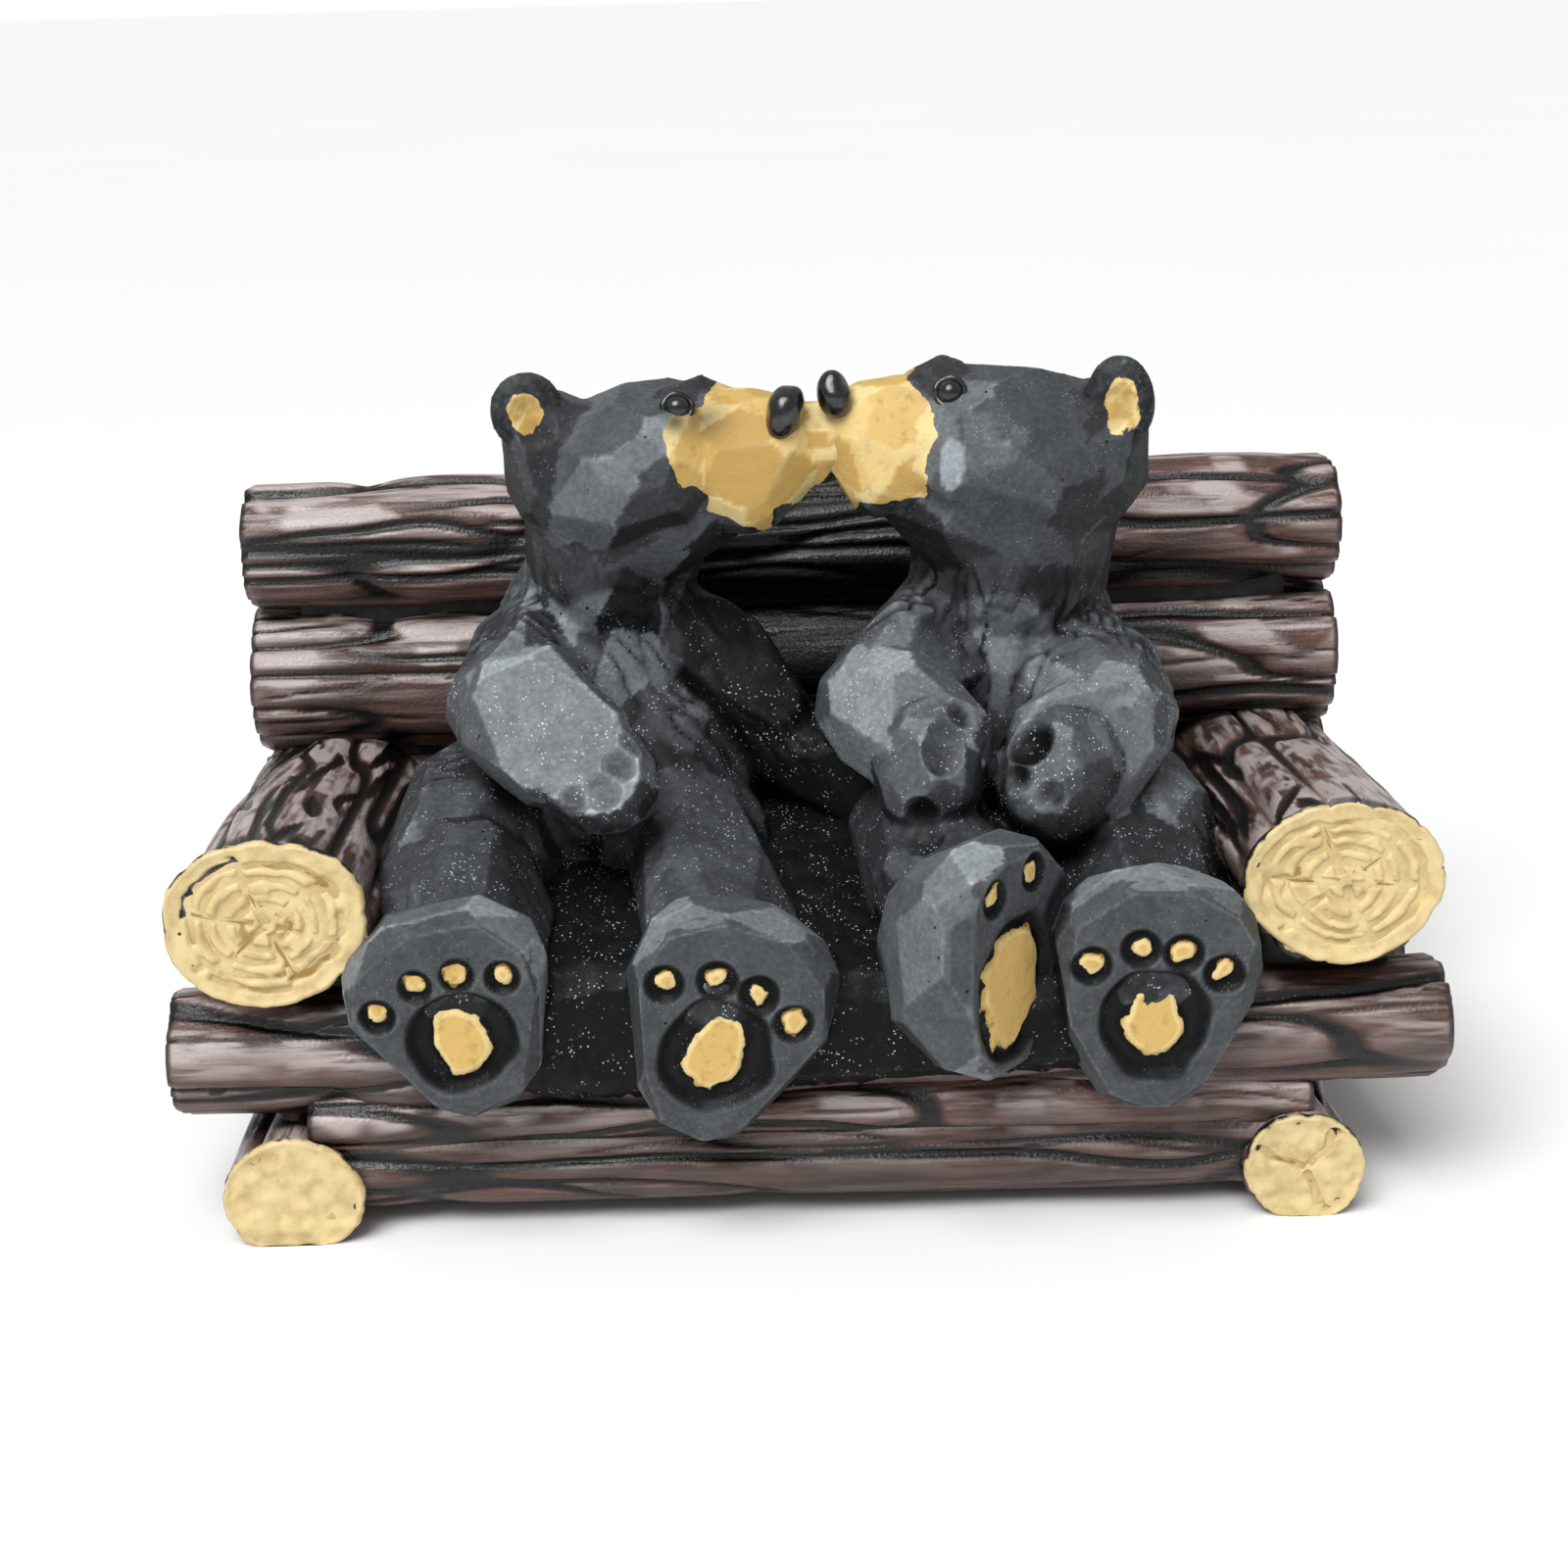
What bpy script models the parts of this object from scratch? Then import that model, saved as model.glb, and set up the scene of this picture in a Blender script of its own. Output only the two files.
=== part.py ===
"""Two carved black bears that sit nose to nose on a log bench, cast in resin as one solid.

Metres, +Z up. The front of the bench faces -Y, the origin is on the floor at the middle of the footprint.
The bench is a stack of logs. Each bear is a set of convex forms, whittled from blocks by flat knife cuts.
Everything is drawn from the plane of the armrests' front faces (y = 0), and moved to the origin at the end.
"""

import math
import random

import bmesh
import bpy
from mathutils import Matrix, Vector

MM = 0.001
CASTING = "kissing_bears_on_log_bench"

# Bench
BENCH_WIDTH = 148 * MM
BACK_SHORTFALL = 3 * MM
SEAT_LOG_STAGGER = 3 * MM
LEFT_RUNNER_WIDTH = 16.8 * MM
RIGHT_RUNNER_WIDTH = 14.4 * MM
RUNNER_HEIGHT = 13.2 * MM
RUNNER_LENGTH = 76 * MM
RUNNER_INSET = 15 * MM
RUNNER_SHIFT = -1.6 * MM
RUNNER_ROUNDNESS = 1.3 * MM
LOWER_LOG_RADIUS = 6.1 * MM
FLOOR_CLEARANCE = 1.2 * MM
SEAT_LOG_RADIUS = 7.7 * MM
SEAT_LOG_COUNT = 5
SEAT_SETBACK = 0.5 * MM
ARM_WIDTH = 23.2 * MM
ARM_HEIGHT = 19.6 * MM
ARM_REAR_HEIGHT = 15.5 * MM
ARM_INSET = 13.5 * MM
ARM_SPLAY = 1.6 * MM
ARM_LIFT = 1.3 * MM
RIGHT_ARM_RAISE = 1.4 * MM
ARM_REAR_SINK = 0.8 * MM
BOTTOM_BACK_RADIUS = 6.7 * MM
MIDDLE_BACK_RADIUS = 10 * MM
TOP_BACK_RADIUS = 8.9 * MM
BACK_LEAN = 1.2 * MM
LOG_BITE = 0.9 * MM
LOG_SIDES = 16
LOG_PIECE_LENGTH = 72 * MM
FURROW_DEPTH = 1.0 * MM
CORE_INSET = 6 * MM
CORE_CLEARANCE = 1.6 * MM
SLIVER = 0.01 * MM

# Bears
BEAR_HEIGHT = 68 * MM
FACET_WIDTH = 7 * MM
CUT_UNEVENNESS = 0.045
FEWEST_CUTS = 16
SHORTEST_EDGE = 0.12 * MM
SOLE_REACH = 5.2 * MM
TURNED_FOOT_REACH = 7.3 * MM
PAD_RECESS = 1.3 * MM
PAD_RISE = 0.7 * MM
PAD_DROP = 0.09
EYE_RADIUS = 1.5 * MM

BLACK = (0.022, 0.024, 0.027, 1.0)

# Where the logs lie, worked out from their sizes
BACK_LENGTH = BENCH_WIDTH - BACK_SHORTFALL
RUNNER_SPACING = BENCH_WIDTH - 2 * RUNNER_INSET
ARM_SPACING = BENCH_WIDTH - 2 * ARM_INSET
SEAT_HEIGHT = RUNNER_HEIGHT + SEAT_LOG_RADIUS
SEAT_TOP = SEAT_HEIGHT + SEAT_LOG_RADIUS
SEAT_PITCH = 2 * SEAT_LOG_RADIUS - LOG_BITE
FIRST_SEAT_DEPTH = SEAT_SETBACK + SEAT_LOG_RADIUS
LAST_SEAT_DEPTH = FIRST_SEAT_DEPTH + (SEAT_LOG_COUNT - 1) * SEAT_PITCH
LOWER_LOG_HEIGHT = FLOOR_CLEARANCE + LOWER_LOG_RADIUS
BACK_DEPTH = LAST_SEAT_DEPTH + BACK_LEAN
BOTTOM_BACK_HEIGHT = SEAT_TOP + BOTTOM_BACK_RADIUS - LOG_BITE
MIDDLE_BACK_HEIGHT = BOTTOM_BACK_HEIGHT + BOTTOM_BACK_RADIUS + MIDDLE_BACK_RADIUS - LOG_BITE
TOP_BACK_HEIGHT = MIDDLE_BACK_HEIGHT + MIDDLE_BACK_RADIUS + TOP_BACK_RADIUS - LOG_BITE
BACKREST_FACE = BACK_DEPTH - MIDDLE_BACK_RADIUS
ARM_FRONT_CENTRE = SEAT_TOP + ARM_HEIGHT / 2 + ARM_LIFT
ARM_REAR_CENTRE = SEAT_TOP + ARM_REAR_HEIGHT / 2 - ARM_REAR_SINK
RUNNER_CENTRE = RUNNER_HEIGHT / 2 - RUNNER_ROUNDNESS / 2
FOOTPRINT_MIDDLE = (BACK_DEPTH + MIDDLE_BACK_RADIUS - SOLE_REACH - TURNED_FOOT_REACH) / 2

# The bears are drawn in hundredths of their own height above the seat, from the middle of the bench.
# Depth is drawn in hundredths of the seat's depth, from its front edge to the backrest.
# A form is the hull of its balls: x, depth, height and radius.
LEFT_BEAR = {
    "torso": [(-40, 72, 16, 23), (-39, 76, 41, 19.5), (-35, 72, 58, 15)],
    "neck": [(-33.5, 71, 59, 15), (-32, 66, 76, 15)],
    "skull": [(-35, 62, 78.5, 13.7), (-21, 63, 84.5, 11.5), (-25, 52, 82, 11.5)],
    "jaw": [(-31, 63, 72, 13.5), (-15, 58, 78, 9.5)],
    "brow": [(-14.5, 67, 88.5, 6), (-20, 57, 89.5, 6)],
    "muzzle": [(-13.5, 58, 84, 11), (-2, 56, 85.2, 9), (-8, 53, 77.2, 7.4)],
    "outer arm": [(-47.5, 65, 45, 12.5), (-50.5, 44, 42, 11)],
    "outer forearm": [(-49, 41, 41, 11.2), (-39.5, 29, 38, 10.8)],
    "outer paw": [(-38, 28, 36, 10.6), (-33.5, 25, 32.5, 9.4)],
    "inner arm": [(-22, 68, 50, 9), (-2, 62, 29, 8.5)],
    "inner forearm": [(-2, 62, 29, 8.5), (19, 50, 20, 8)],
    "outer thigh": [(-58, 66, 14, 17), (-62, 38, 10, 15)],
    "outer shin": [(-62, 38, 9, 15), (-58, 8, 4, 14)],
    "inner thigh": [(-30, 66, 16, 17), (-18, 46, 14, 13)],
    "inner shin": [(-18, 44, 12, 13), (-15, 8, 2, 14)],
    "throat": [(-31, 63, 69, 12.5), (-35, 71, 53, 14)],
    "ear root": [(-44, 56, 90, 6.8), (-37, 61, 79, 12)],
    "belly": [(-30, 64, 34, 12.5), (-20, 61, 20, 12)],
    "lips": [(0, 56, 85, 6.8), (9, 56, 86, 6.8)],
}
RIGHT_BEAR = {
    "torso": [(41, 72, 16, 23), (40.5, 76, 40, 19.5), (39, 72, 56, 16.5)],
    "neck": [(39, 71, 57, 17.5), (42, 64, 76, 16.5)],
    "skull": [(45, 63, 79.5, 16), (28.5, 63, 86, 12), (31, 53, 83, 11.8)],
    "jaw": [(41, 63, 70.5, 15), (23, 58, 78, 9.5)],
    "brow": [(25, 63, 91.5, 6.4), (27, 55, 91.5, 5.8)],
    "muzzle": [(20.5, 58, 85.5, 10.8), (13, 56, 87, 9), (15.5, 53, 79.5, 7.4)],
    "outer arm": [(50, 65, 41, 13.5), (55, 44, 36.5, 11.4)],
    "outer forearm": [(54.5, 42, 35.5, 11.4), (45, 29, 32, 10.8)],
    "outer paw": [(45, 29, 32, 10.8), (43, 26, 28.5, 10)],
    "inner arm": [(26, 65, 47, 12.5), (14, 46, 41, 10.3)],
    "inner forearm": [(13.5, 44, 40.5, 10.6), (22, 30, 36.5, 10.8)],
    "inner paw": [(22, 29, 36, 10.6), (22, 25, 31.5, 9.6)],
    "outer thigh": [(56, 66, 14, 17), (60, 38, 11, 15)],
    "outer shin": [(60, 38, 10, 15), (57, 8, 4, 14)],
    "inner thigh": [(32, 66, 17, 17), (22, 42, 16, 14)],
    "inner shin": [(22, 40, 15, 14), (26, 12, 12, 13)],
    "throat": [(40, 63, 67, 14), (40, 71, 52, 15.5)],
    "ear root": [(55, 55, 88.5, 7.2), (48, 62, 77, 13)],
}
# Broad knife cuts that show on the arms: a place on the cut, and the way that it faces
BROAD_CUTS = {
    "left bear's outer forearm": ((-44.8, 27, 43.4), (-0.1, -0.82, 0.56)),
    "left bear's outer paw": ((-44.8, 27, 43.4), (-0.1, -0.82, 0.56)),
    "right bear's inner forearm": ((14.2, 25, 44.2), (-0.1, -0.76, 0.64)),
    "right bear's outer forearm": ((54.6, 29, 37.5), (0.2, -0.84, 0.5)),
}
LAP = [(-58, 9, -5, 11), (58, 9, -5, 11), (-45, 66, 2, 13), (45, 66, 2, 13)]

# Ears: x, depth, height, width, height of the ear, and how far the ear is turned from facing the front
EARS = [
    (-45.5, 52, 92.8, 12.8, 13.8, 8),
    (-40, 76, 86, 11, 13, -20),
    (56.6, 51, 91.6, 12.2, 16.6, -14),
    (50.5, 76, 86, 11, 13, 20),
]
# Noses: x, depth, height, width, height of the nose, and tilt
NOSES = [(-1.2, 48.4, 92, 6.6, 9.6, 24), (7.4, 50, 94.6, 5.8, 8.4, -8)]
# Eyes: x, depth and height
EYES = [(-19.5, 49, 93), (27.3, 49, 94.4), (-15.5, 71, 90), (23.5, 72, 92)]
# Soles, in shares of a sole's width and height: the pad, the hollow round it, and the toes, each with
# its place across, its height and its size
PLAIN_SOLE = (
    (0.135, 0.175), (0.29, 0.25),
    [(-0.33, 0.15, 0.066), (-0.1, 0.225, 0.066), (0.11, 0.21, 0.066), (0.31, 0.13, 0.066)],
)
TURNED_SOLE = ((0.24, 0.27), (0.34, 0.335), [(-0.24, 0.31, 0.066), (0.1, 0.37, 0.066)])
# Feet: x, height, width, height of the sole, turn to the side, tilt in the sole's own plane, and sole
FEET = [
    (-58.4, 1.0, 34, 37, 0, -19, PLAIN_SOLE),
    (-14.6, -2.6, 35, 42, 0, 18, PLAIN_SOLE),
    (34, 8.5, 32, 41, 50, 6, TURNED_SOLE),
    (57, 1.2, 34, 42, 0, 3, PLAIN_SOLE),
]
# Scallops cut in the fronts of the paws: x, depth, height and radius
SCALLOPS = [
    (-27.8, 20, 40.7, 3.2), (-30.5, 16, 35.5, 3.6), (-34.5, 15, 30.5, 3.8),
    (28.4, 20, 44.7, 3.1), (25, 16, 39.6, 4), (21.8, 15, 33.4, 3.8),
    (40, 17, 35.6, 4), (38.5, 15, 30.8, 3.6),
]
SCALLOPED = ("outer forearm", "outer paw", "inner forearm", "inner paw")


def clear_scene():
    for obj in list(bpy.data.objects):
        bpy.data.objects.remove(obj, do_unlink=True)


def new_collection(name, helper=False):
    collection = bpy.data.collections.new(name)
    bpy.context.scene.collection.children.link(collection)
    collection.hide_render = helper
    return collection


def painted(name, colour, roughness):
    material = bpy.data.materials.new(name)
    material.use_nodes = True
    shader = material.node_tree.nodes["Principled BSDF"]
    shader.inputs["Base Color"].default_value = colour
    shader.inputs["Roughness"].default_value = roughness
    shader.inputs["Metallic"].default_value = 0.0
    return material


def add_object(name, bm, collection):
    """The bmesh as an object in the collection, its faces made triangles and turned outward."""
    bmesh.ops.triangulate(bm, faces=bm.faces)
    bmesh.ops.recalc_face_normals(bm, faces=bm.faces)
    mesh = bpy.data.meshes.new(name)
    bm.to_mesh(mesh)
    bm.free()
    obj = bpy.data.objects.new(name, mesh)
    collection.objects.link(obj)
    if collection.hide_render:
        obj.hide_render = True
        obj.display_type = "WIRE"
    return obj


def cut_flat(bm, point, direction):
    """Slice off all that lies past the plane, and close the cut."""
    geometry = bm.verts[:] + bm.edges[:] + bm.faces[:]
    cut = bmesh.ops.bisect_plane(
        bm, geom=geometry, dist=1e-7, plane_co=point, plane_no=direction, clear_outer=True
    )
    rim = [item for item in cut["geom_cut"] if isinstance(item, bmesh.types.BMEdge)]
    if rim:
        bmesh.ops.holes_fill(bm, edges=rim, sides=0)


def even_directions(count, rng):
    """Directions spread evenly over a sphere, and each shaken a little, as a knife is."""
    golden = math.pi * (3 - math.sqrt(5))
    start = rng.uniform(0, math.tau)
    shake = 0.8 / math.sqrt(count)
    for i in range(count):
        z = 1 - (2 * i + 1) / count
        across = math.sqrt(1 - z * z)
        turn = start + i * golden
        direction = Vector((across * math.cos(turn), across * math.sin(turn), z))
        yield (direction + Vector([rng.uniform(-shake, shake) for _ in range(3)])).normalized()


def whittled(balls, seed, flats=()):
    """A block cut down by flat cuts that touch the hull of the balls. A ball is a centre and a radius."""
    rng = random.Random(seed)
    middle = sum((centre for centre, _ in balls), Vector()) / len(balls)
    largest = max(radius for _, radius in balls)
    length = max((a - b).length for a, _ in balls for b, _ in balls)
    area = 4 * math.pi * largest**2 + 2 * math.pi * largest * length
    bm = bmesh.new()
    bmesh.ops.create_cube(bm, size=2 * length + 4 * largest, matrix=Matrix.Translation(middle))
    for direction in even_directions(FEWEST_CUTS + round(area / FACET_WIDTH**2), rng):
        reach = max(direction.dot(centre) + radius for centre, radius in balls)
        reach -= rng.uniform(0, CUT_UNEVENNESS) * largest
        cut_flat(bm, direction * reach, direction)
    for point, direction in flats:
        cut_flat(bm, point, direction)
    bmesh.ops.remove_doubles(bm, verts=bm.verts, dist=SHORTEST_EDGE)
    return bm


def on_bear(x, depth, height):
    """A drawn place on the bears, in metres."""
    share = BEAR_HEIGHT / 100
    return Vector((x * share, depth / 100 * BACKREST_FACE, SEAT_TOP + height * share))


def bear_balls(drawn):
    return [(on_bear(x, y, z), radius * BEAR_HEIGHT / 100) for x, y, z, radius in drawn]


def flattened_ball(centre, radii, turn=0.0, tilt=0.0, detail=2):
    """An icosphere squashed to three radii, tilted in the XZ plane, then turned about Z."""
    bm = bmesh.new()
    bmesh.ops.create_icosphere(bm, subdivisions=detail, radius=1)
    place = Matrix.Translation(centre) @ Matrix.Rotation(turn, 4, "Z") @ Matrix.Rotation(tilt, 4, "Y")
    bmesh.ops.transform(bm, matrix=place @ Matrix.Diagonal((*radii, 1)), verts=bm.verts)
    return bm


def log(start, end, start_radii, end_radii, seed, flat_at=None):
    """A log from start to end: a primitive cylinder cut into lengths, with furrows pressed into its bark."""
    rng = random.Random(seed)
    axis = end - start
    pieces = max(2, round(axis.length / LOG_PIECE_LENGTH))
    bm = bmesh.new()
    bmesh.ops.create_cone(bm, cap_ends=True, segments=LOG_SIDES, radius1=1, radius2=1, depth=1)
    for i in range(1, pieces):
        geometry = bm.verts[:] + bm.edges[:] + bm.faces[:]
        height = i / pieces - 0.5
        bmesh.ops.bisect_plane(bm, geom=geometry, plane_co=(0, 0, height), plane_no=(0, 0, 1))
    side_depths = [rng.uniform(0.45, 1.0) if side % 2 else 0.0 for side in range(LOG_SIDES)]
    roll = rng.uniform(0.1, 0.9) * math.tau / LOG_SIDES
    for vert in bm.verts:
        angle = math.atan2(vert.co.y, vert.co.x)
        side = round(angle / math.tau * LOG_SIDES) % LOG_SIDES
        share = vert.co.z + 0.5
        width, height = [a + (b - a) * share for a, b in zip(start_radii, end_radii, strict=True)]
        pressed = FURROW_DEPTH * (side_depths[side] + rng.uniform(0, 0.25))
        vert.co.x = (width - pressed) * math.cos(angle + roll)
        vert.co.y = (height - pressed) * math.sin(angle + roll)
        vert.co.z *= axis.length
    turn = Vector((0, 0, 1)).rotation_difference(axis)
    if abs(axis.x) > abs(axis.y):
        turn = Matrix.Rotation(math.pi / 2, 4, "Y").to_quaternion()
    place = Matrix.Translation((start + end) / 2) @ turn.to_matrix().to_4x4()
    bmesh.ops.transform(bm, matrix=place, verts=bm.verts)
    if flat_at is not None:
        cut_flat(bm, Vector((0, 0, flat_at)), Vector((0, 0, -1)))
    return bm


def crosswise_log(length, depth, height, radius, seed):
    half = Vector((length / 2, 0, 0))
    middle = Vector((0, depth, height))
    return log(middle - half, middle + half, (radius, radius), (radius, radius), seed)


def box(low, high):
    bm = bmesh.new()
    size = Vector(high) - Vector(low)
    place = Matrix.Translation((Vector(high) + Vector(low)) / 2) @ Matrix.Diagonal((*size, 1))
    bmesh.ops.create_cube(bm, size=1, matrix=place)
    return bm


def carve(obj, cutters):
    for cutter in cutters:
        modifier = obj.modifiers.new(cutter.name, "BOOLEAN")
        modifier.operation = "DIFFERENCE"
        modifier.object = cutter
        modifier.solver = "MANIFOLD"
    weld = obj.modifiers.new("Close slivers", "WELD")
    weld.merge_threshold = SLIVER


def build_bench(forms):
    for i in range(SEAT_LOG_COUNT):
        depth = FIRST_SEAT_DEPTH + i * SEAT_PITCH
        length = BENCH_WIDTH - (i % 2) * SEAT_LOG_STAGGER
        seat_log = crosswise_log(length, depth, SEAT_HEIGHT, SEAT_LOG_RADIUS, 10 + i)
        add_object(f"seat log {i + 1}", seat_log, forms)
    backs = [
        ("bottom back log", BOTTOM_BACK_HEIGHT, BOTTOM_BACK_RADIUS, 21),
        ("middle back log", MIDDLE_BACK_HEIGHT, MIDDLE_BACK_RADIUS, 22),
        ("top back log", TOP_BACK_HEIGHT, TOP_BACK_RADIUS, 23),
    ]
    for name, height, radius, seed in backs:
        add_object(name, crosswise_log(BACK_LENGTH, BACK_DEPTH, height, radius, seed), forms)
    lower_length = RUNNER_SPACING - RIGHT_RUNNER_WIDTH / 2
    for name, depth, seed in (
        ("lower front log", SEAT_SETBACK + LOWER_LOG_RADIUS, 31),
        ("lower rear log", BACK_DEPTH, 32),
    ):
        add_object(name, crosswise_log(lower_length, depth, LOWER_LOG_HEIGHT, LOWER_LOG_RADIUS, seed), forms)
    for side in (-1, 1):
        build_end(side, forms)
    core_half = RUNNER_SPACING / 2
    seat_core = box(
        (-core_half, FIRST_SEAT_DEPTH, CORE_CLEARANCE),
        (core_half, BACK_DEPTH, SEAT_HEIGHT + SEAT_LOG_RADIUS / 2),
    )
    add_object("seat core", seat_core, forms)
    back_half = BACK_LENGTH / 2 - CORE_INSET
    back_core = box(
        (-back_half, BACK_DEPTH - CORE_INSET / 2, SEAT_HEIGHT),
        (back_half, BACK_DEPTH + CORE_INSET / 2, TOP_BACK_HEIGHT),
    )
    add_object("back core", back_core, forms)


def build_end(side, forms):
    """The runner on the floor and the armrest on the seat, at one end of the bench."""
    word = "left" if side < 0 else "right"
    width = LEFT_RUNNER_WIDTH if side < 0 else RIGHT_RUNNER_WIDTH
    x = side * RUNNER_SPACING / 2 + RUNNER_SHIFT
    radii = (width / 2, RUNNER_HEIGHT / 2 + RUNNER_ROUNDNESS / 2)
    front = Vector((x, -SEAT_SETBACK, RUNNER_CENTRE))
    rear = Vector((x, RUNNER_LENGTH - SEAT_SETBACK, RUNNER_CENTRE))
    add_object(f"{word} runner", log(front, rear, radii, radii, 40 + side, flat_at=0.0), forms)
    raised = RIGHT_ARM_RAISE if side > 0 else 0.0
    front = Vector((side * ARM_SPACING / 2, 0, ARM_FRONT_CENTRE + raised))
    rear = Vector((side * (ARM_SPACING / 2 + ARM_SPLAY), BACK_DEPTH + CORE_INSET / 3, ARM_REAR_CENTRE))
    front_radii = (ARM_WIDTH / 2, ARM_HEIGHT / 2)
    rear_radii = (ARM_WIDTH / 2, ARM_REAR_HEIGHT / 2)
    add_object(f"{word} armrest", log(front, rear, front_radii, rear_radii, 50 + side), forms)
    packing = box(
        (front.x - ARM_WIDTH / 3, FIRST_SEAT_DEPTH, SEAT_HEIGHT),
        (front.x + ARM_WIDTH / 3, BACK_DEPTH, SEAT_TOP + ARM_HEIGHT / 3),
    )
    add_object(f"{word} packing under the armrest", packing, forms)


def sole_frame(foot):
    """Where the middle of a sole lies, with its axes: across, out of the sole, and up."""
    x, height, _, _, turn, _, _ = foot
    centre = on_bear(x, 0, height)
    centre.y = -SOLE_REACH
    return Matrix.Translation(centre) @ Matrix.Rotation(math.radians(turn), 4, "Z")


def build_foot(number, foot, forms, cutters):
    _, _, width, height, turn, tilt, (pad, hollow, toes) = foot
    share = BEAR_HEIGHT / 100
    width *= share
    height *= share
    frame = sole_frame(foot)
    lean = Matrix.Rotation(math.radians(tilt), 4, "Y")
    toe_radius = 0.33 * width
    heel_radius = 0.36 * width
    balls = [
        (-0.5 * width + toe_radius, 0.62 * toe_radius, 0.5 * height - 1.12 * toe_radius, toe_radius),
        (0.5 * width - toe_radius, 0.62 * toe_radius, 0.5 * height - 1.12 * toe_radius, toe_radius),
        (0, 0.55 * toe_radius, 0.5 * height - toe_radius, toe_radius),
        (0, 0.62 * heel_radius, -0.5 * height + heel_radius, heel_radius),
        (0, 0.34 * height, 0.02 * height, heel_radius),
    ]
    placed = [(frame @ lean @ Vector(ball[:3]), ball[3]) for ball in balls]
    out = frame.to_3x3() @ Vector((0, -1, 0))
    sole = frame.translation
    bm = whittled(placed, 100 + number, flats=[(sole, out)])
    obj = add_object(f"foot {number}", bm, forms)
    turned = math.radians(turn)
    leaned = math.radians(tilt)
    bowl = (hollow[0] * width, PAD_RECESS, hollow[1] * height)
    centre = frame @ lean @ Vector((0, 0, -PAD_DROP * height))
    hollows = [add_object(f"sole hollow {number}", flattened_ball(centre, bowl, turned, leaned), cutters)]
    island = (pad[0] * width, PAD_RISE, pad[1] * height)
    centre = frame @ lean @ Vector((0, 0.75 * PAD_RECESS, -PAD_DROP * height))
    add_object(f"sole pad {number}", flattened_ball(centre, island, turned, leaned, 1), forms)
    for toe, (across, up, size) in enumerate(toes, start=1):
        centre = frame @ lean @ Vector((across * width, 0, up * height))
        radius = size * height
        dish = (1.35 * radius, PAD_RECESS * 0.8, 1.35 * radius)
        bm = flattened_ball(centre, dish, turned, leaned, 1)
        hollows.append(add_object(f"toe hollow {number}.{toe}", bm, cutters))
    carve(obj, hollows)


def build_bears(forms, cutters):
    share = BEAR_HEIGHT / 100
    scallops = []
    for number, (x, y, z, radius) in enumerate(SCALLOPS, start=1):
        bm = flattened_ball(on_bear(x, y, z), (radius * share,) * 3, detail=1)
        scallops.append(add_object(f"scallop {number}", bm, cutters))
    for bear, drawn in (("left", LEFT_BEAR), ("right", RIGHT_BEAR)):
        for number, (part, balls) in enumerate(drawn.items()):
            seed = 200 + 50 * (bear == "right") + number
            name = f"{bear} bear's {part}"
            flats = []
            if name in BROAD_CUTS:
                place, direction = BROAD_CUTS[name]
                flats = [(on_bear(*place), Vector(direction).normalized())]
            obj = add_object(name, whittled(bear_balls(balls), seed, flats), forms)
            if part in SCALLOPED:
                carve(obj, scallops)
    add_object("fur on the seat", whittled(bear_balls(LAP), 300), forms)
    for number, (x, y, z, width, height, turn) in enumerate(EARS):
        centre = on_bear(x, y, z)
        radii = (width / 2 * share, 0.2 * height * share, height / 2 * share)
        bm = flattened_ball(centre, radii, math.radians(turn), 0, 1)
        ear = add_object(f"ear {number + 1}", bm, forms)
        front = centre + Matrix.Rotation(math.radians(turn), 3, "Z") @ Vector((0, -radii[1], 0))
        hollow = (0.6 * radii[0], 0.5 * radii[1], 0.6 * radii[2])
        bm = flattened_ball(front, hollow, math.radians(turn), 0, 1)
        carve(ear, [add_object(f"ear hollow {number + 1}", bm, cutters)])
    for number, (x, y, z, width, height, tilt) in enumerate(NOSES):
        radii = (width / 2 * share, height / 2 * share, height / 2 * share)
        bm = flattened_ball(on_bear(x, y, z), radii, 0, math.radians(tilt))
        add_object(f"nose {number + 1}", bm, forms)
    for number, place in enumerate(EYES):
        bm = flattened_ball(on_bear(*place), (EYE_RADIUS,) * 3, detail=1)
        add_object(f"eye {number + 1}", bm, forms)
    for number, foot in enumerate(FEET, start=1):
        build_foot(number, foot, forms, cutters)


def main():
    clear_scene()
    casting = new_collection("Kissing bears on a log bench")
    forms = new_collection("Joined forms", helper=True)
    cutters = new_collection("Carved away", helper=True)
    build_bench(forms)
    build_bears(forms, cutters)
    core_half = RUNNER_SPACING / 2 - CORE_INSET
    core = box(
        (-core_half, FIRST_SEAT_DEPTH + CORE_INSET, FLOOR_CLEARANCE + CORE_INSET / 2),
        (core_half, BACK_DEPTH - CORE_INSET, SEAT_HEIGHT - CORE_INSET / 2),
    )
    obj = add_object(CASTING, core, casting)
    obj.data.materials.append(painted("painted resin", BLACK, 0.55))
    join = obj.modifiers.new("Join the forms", "BOOLEAN")
    join.operation = "UNION"
    join.operand_type = "COLLECTION"
    join.collection = forms
    join.solver = "MANIFOLD"
    weld = obj.modifiers.new("Close slivers", "WELD")
    weld.merge_threshold = SLIVER
    shift = Matrix.Translation((0, -FOOTPRINT_MIDDLE, 0))
    for item in list(forms.objects) + list(cutters.objects) + [obj]:
        item.data.transform(shift)


main()
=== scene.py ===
import functools
import itertools
import math
import random
from dataclasses import dataclass

import bpy
import numpy as np
from bpy.props import FloatProperty, FloatVectorProperty, IntProperty, PointerProperty
from mathutils import Euler, Matrix, Vector
from mathutils.bvhtree import BVHTree


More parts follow.
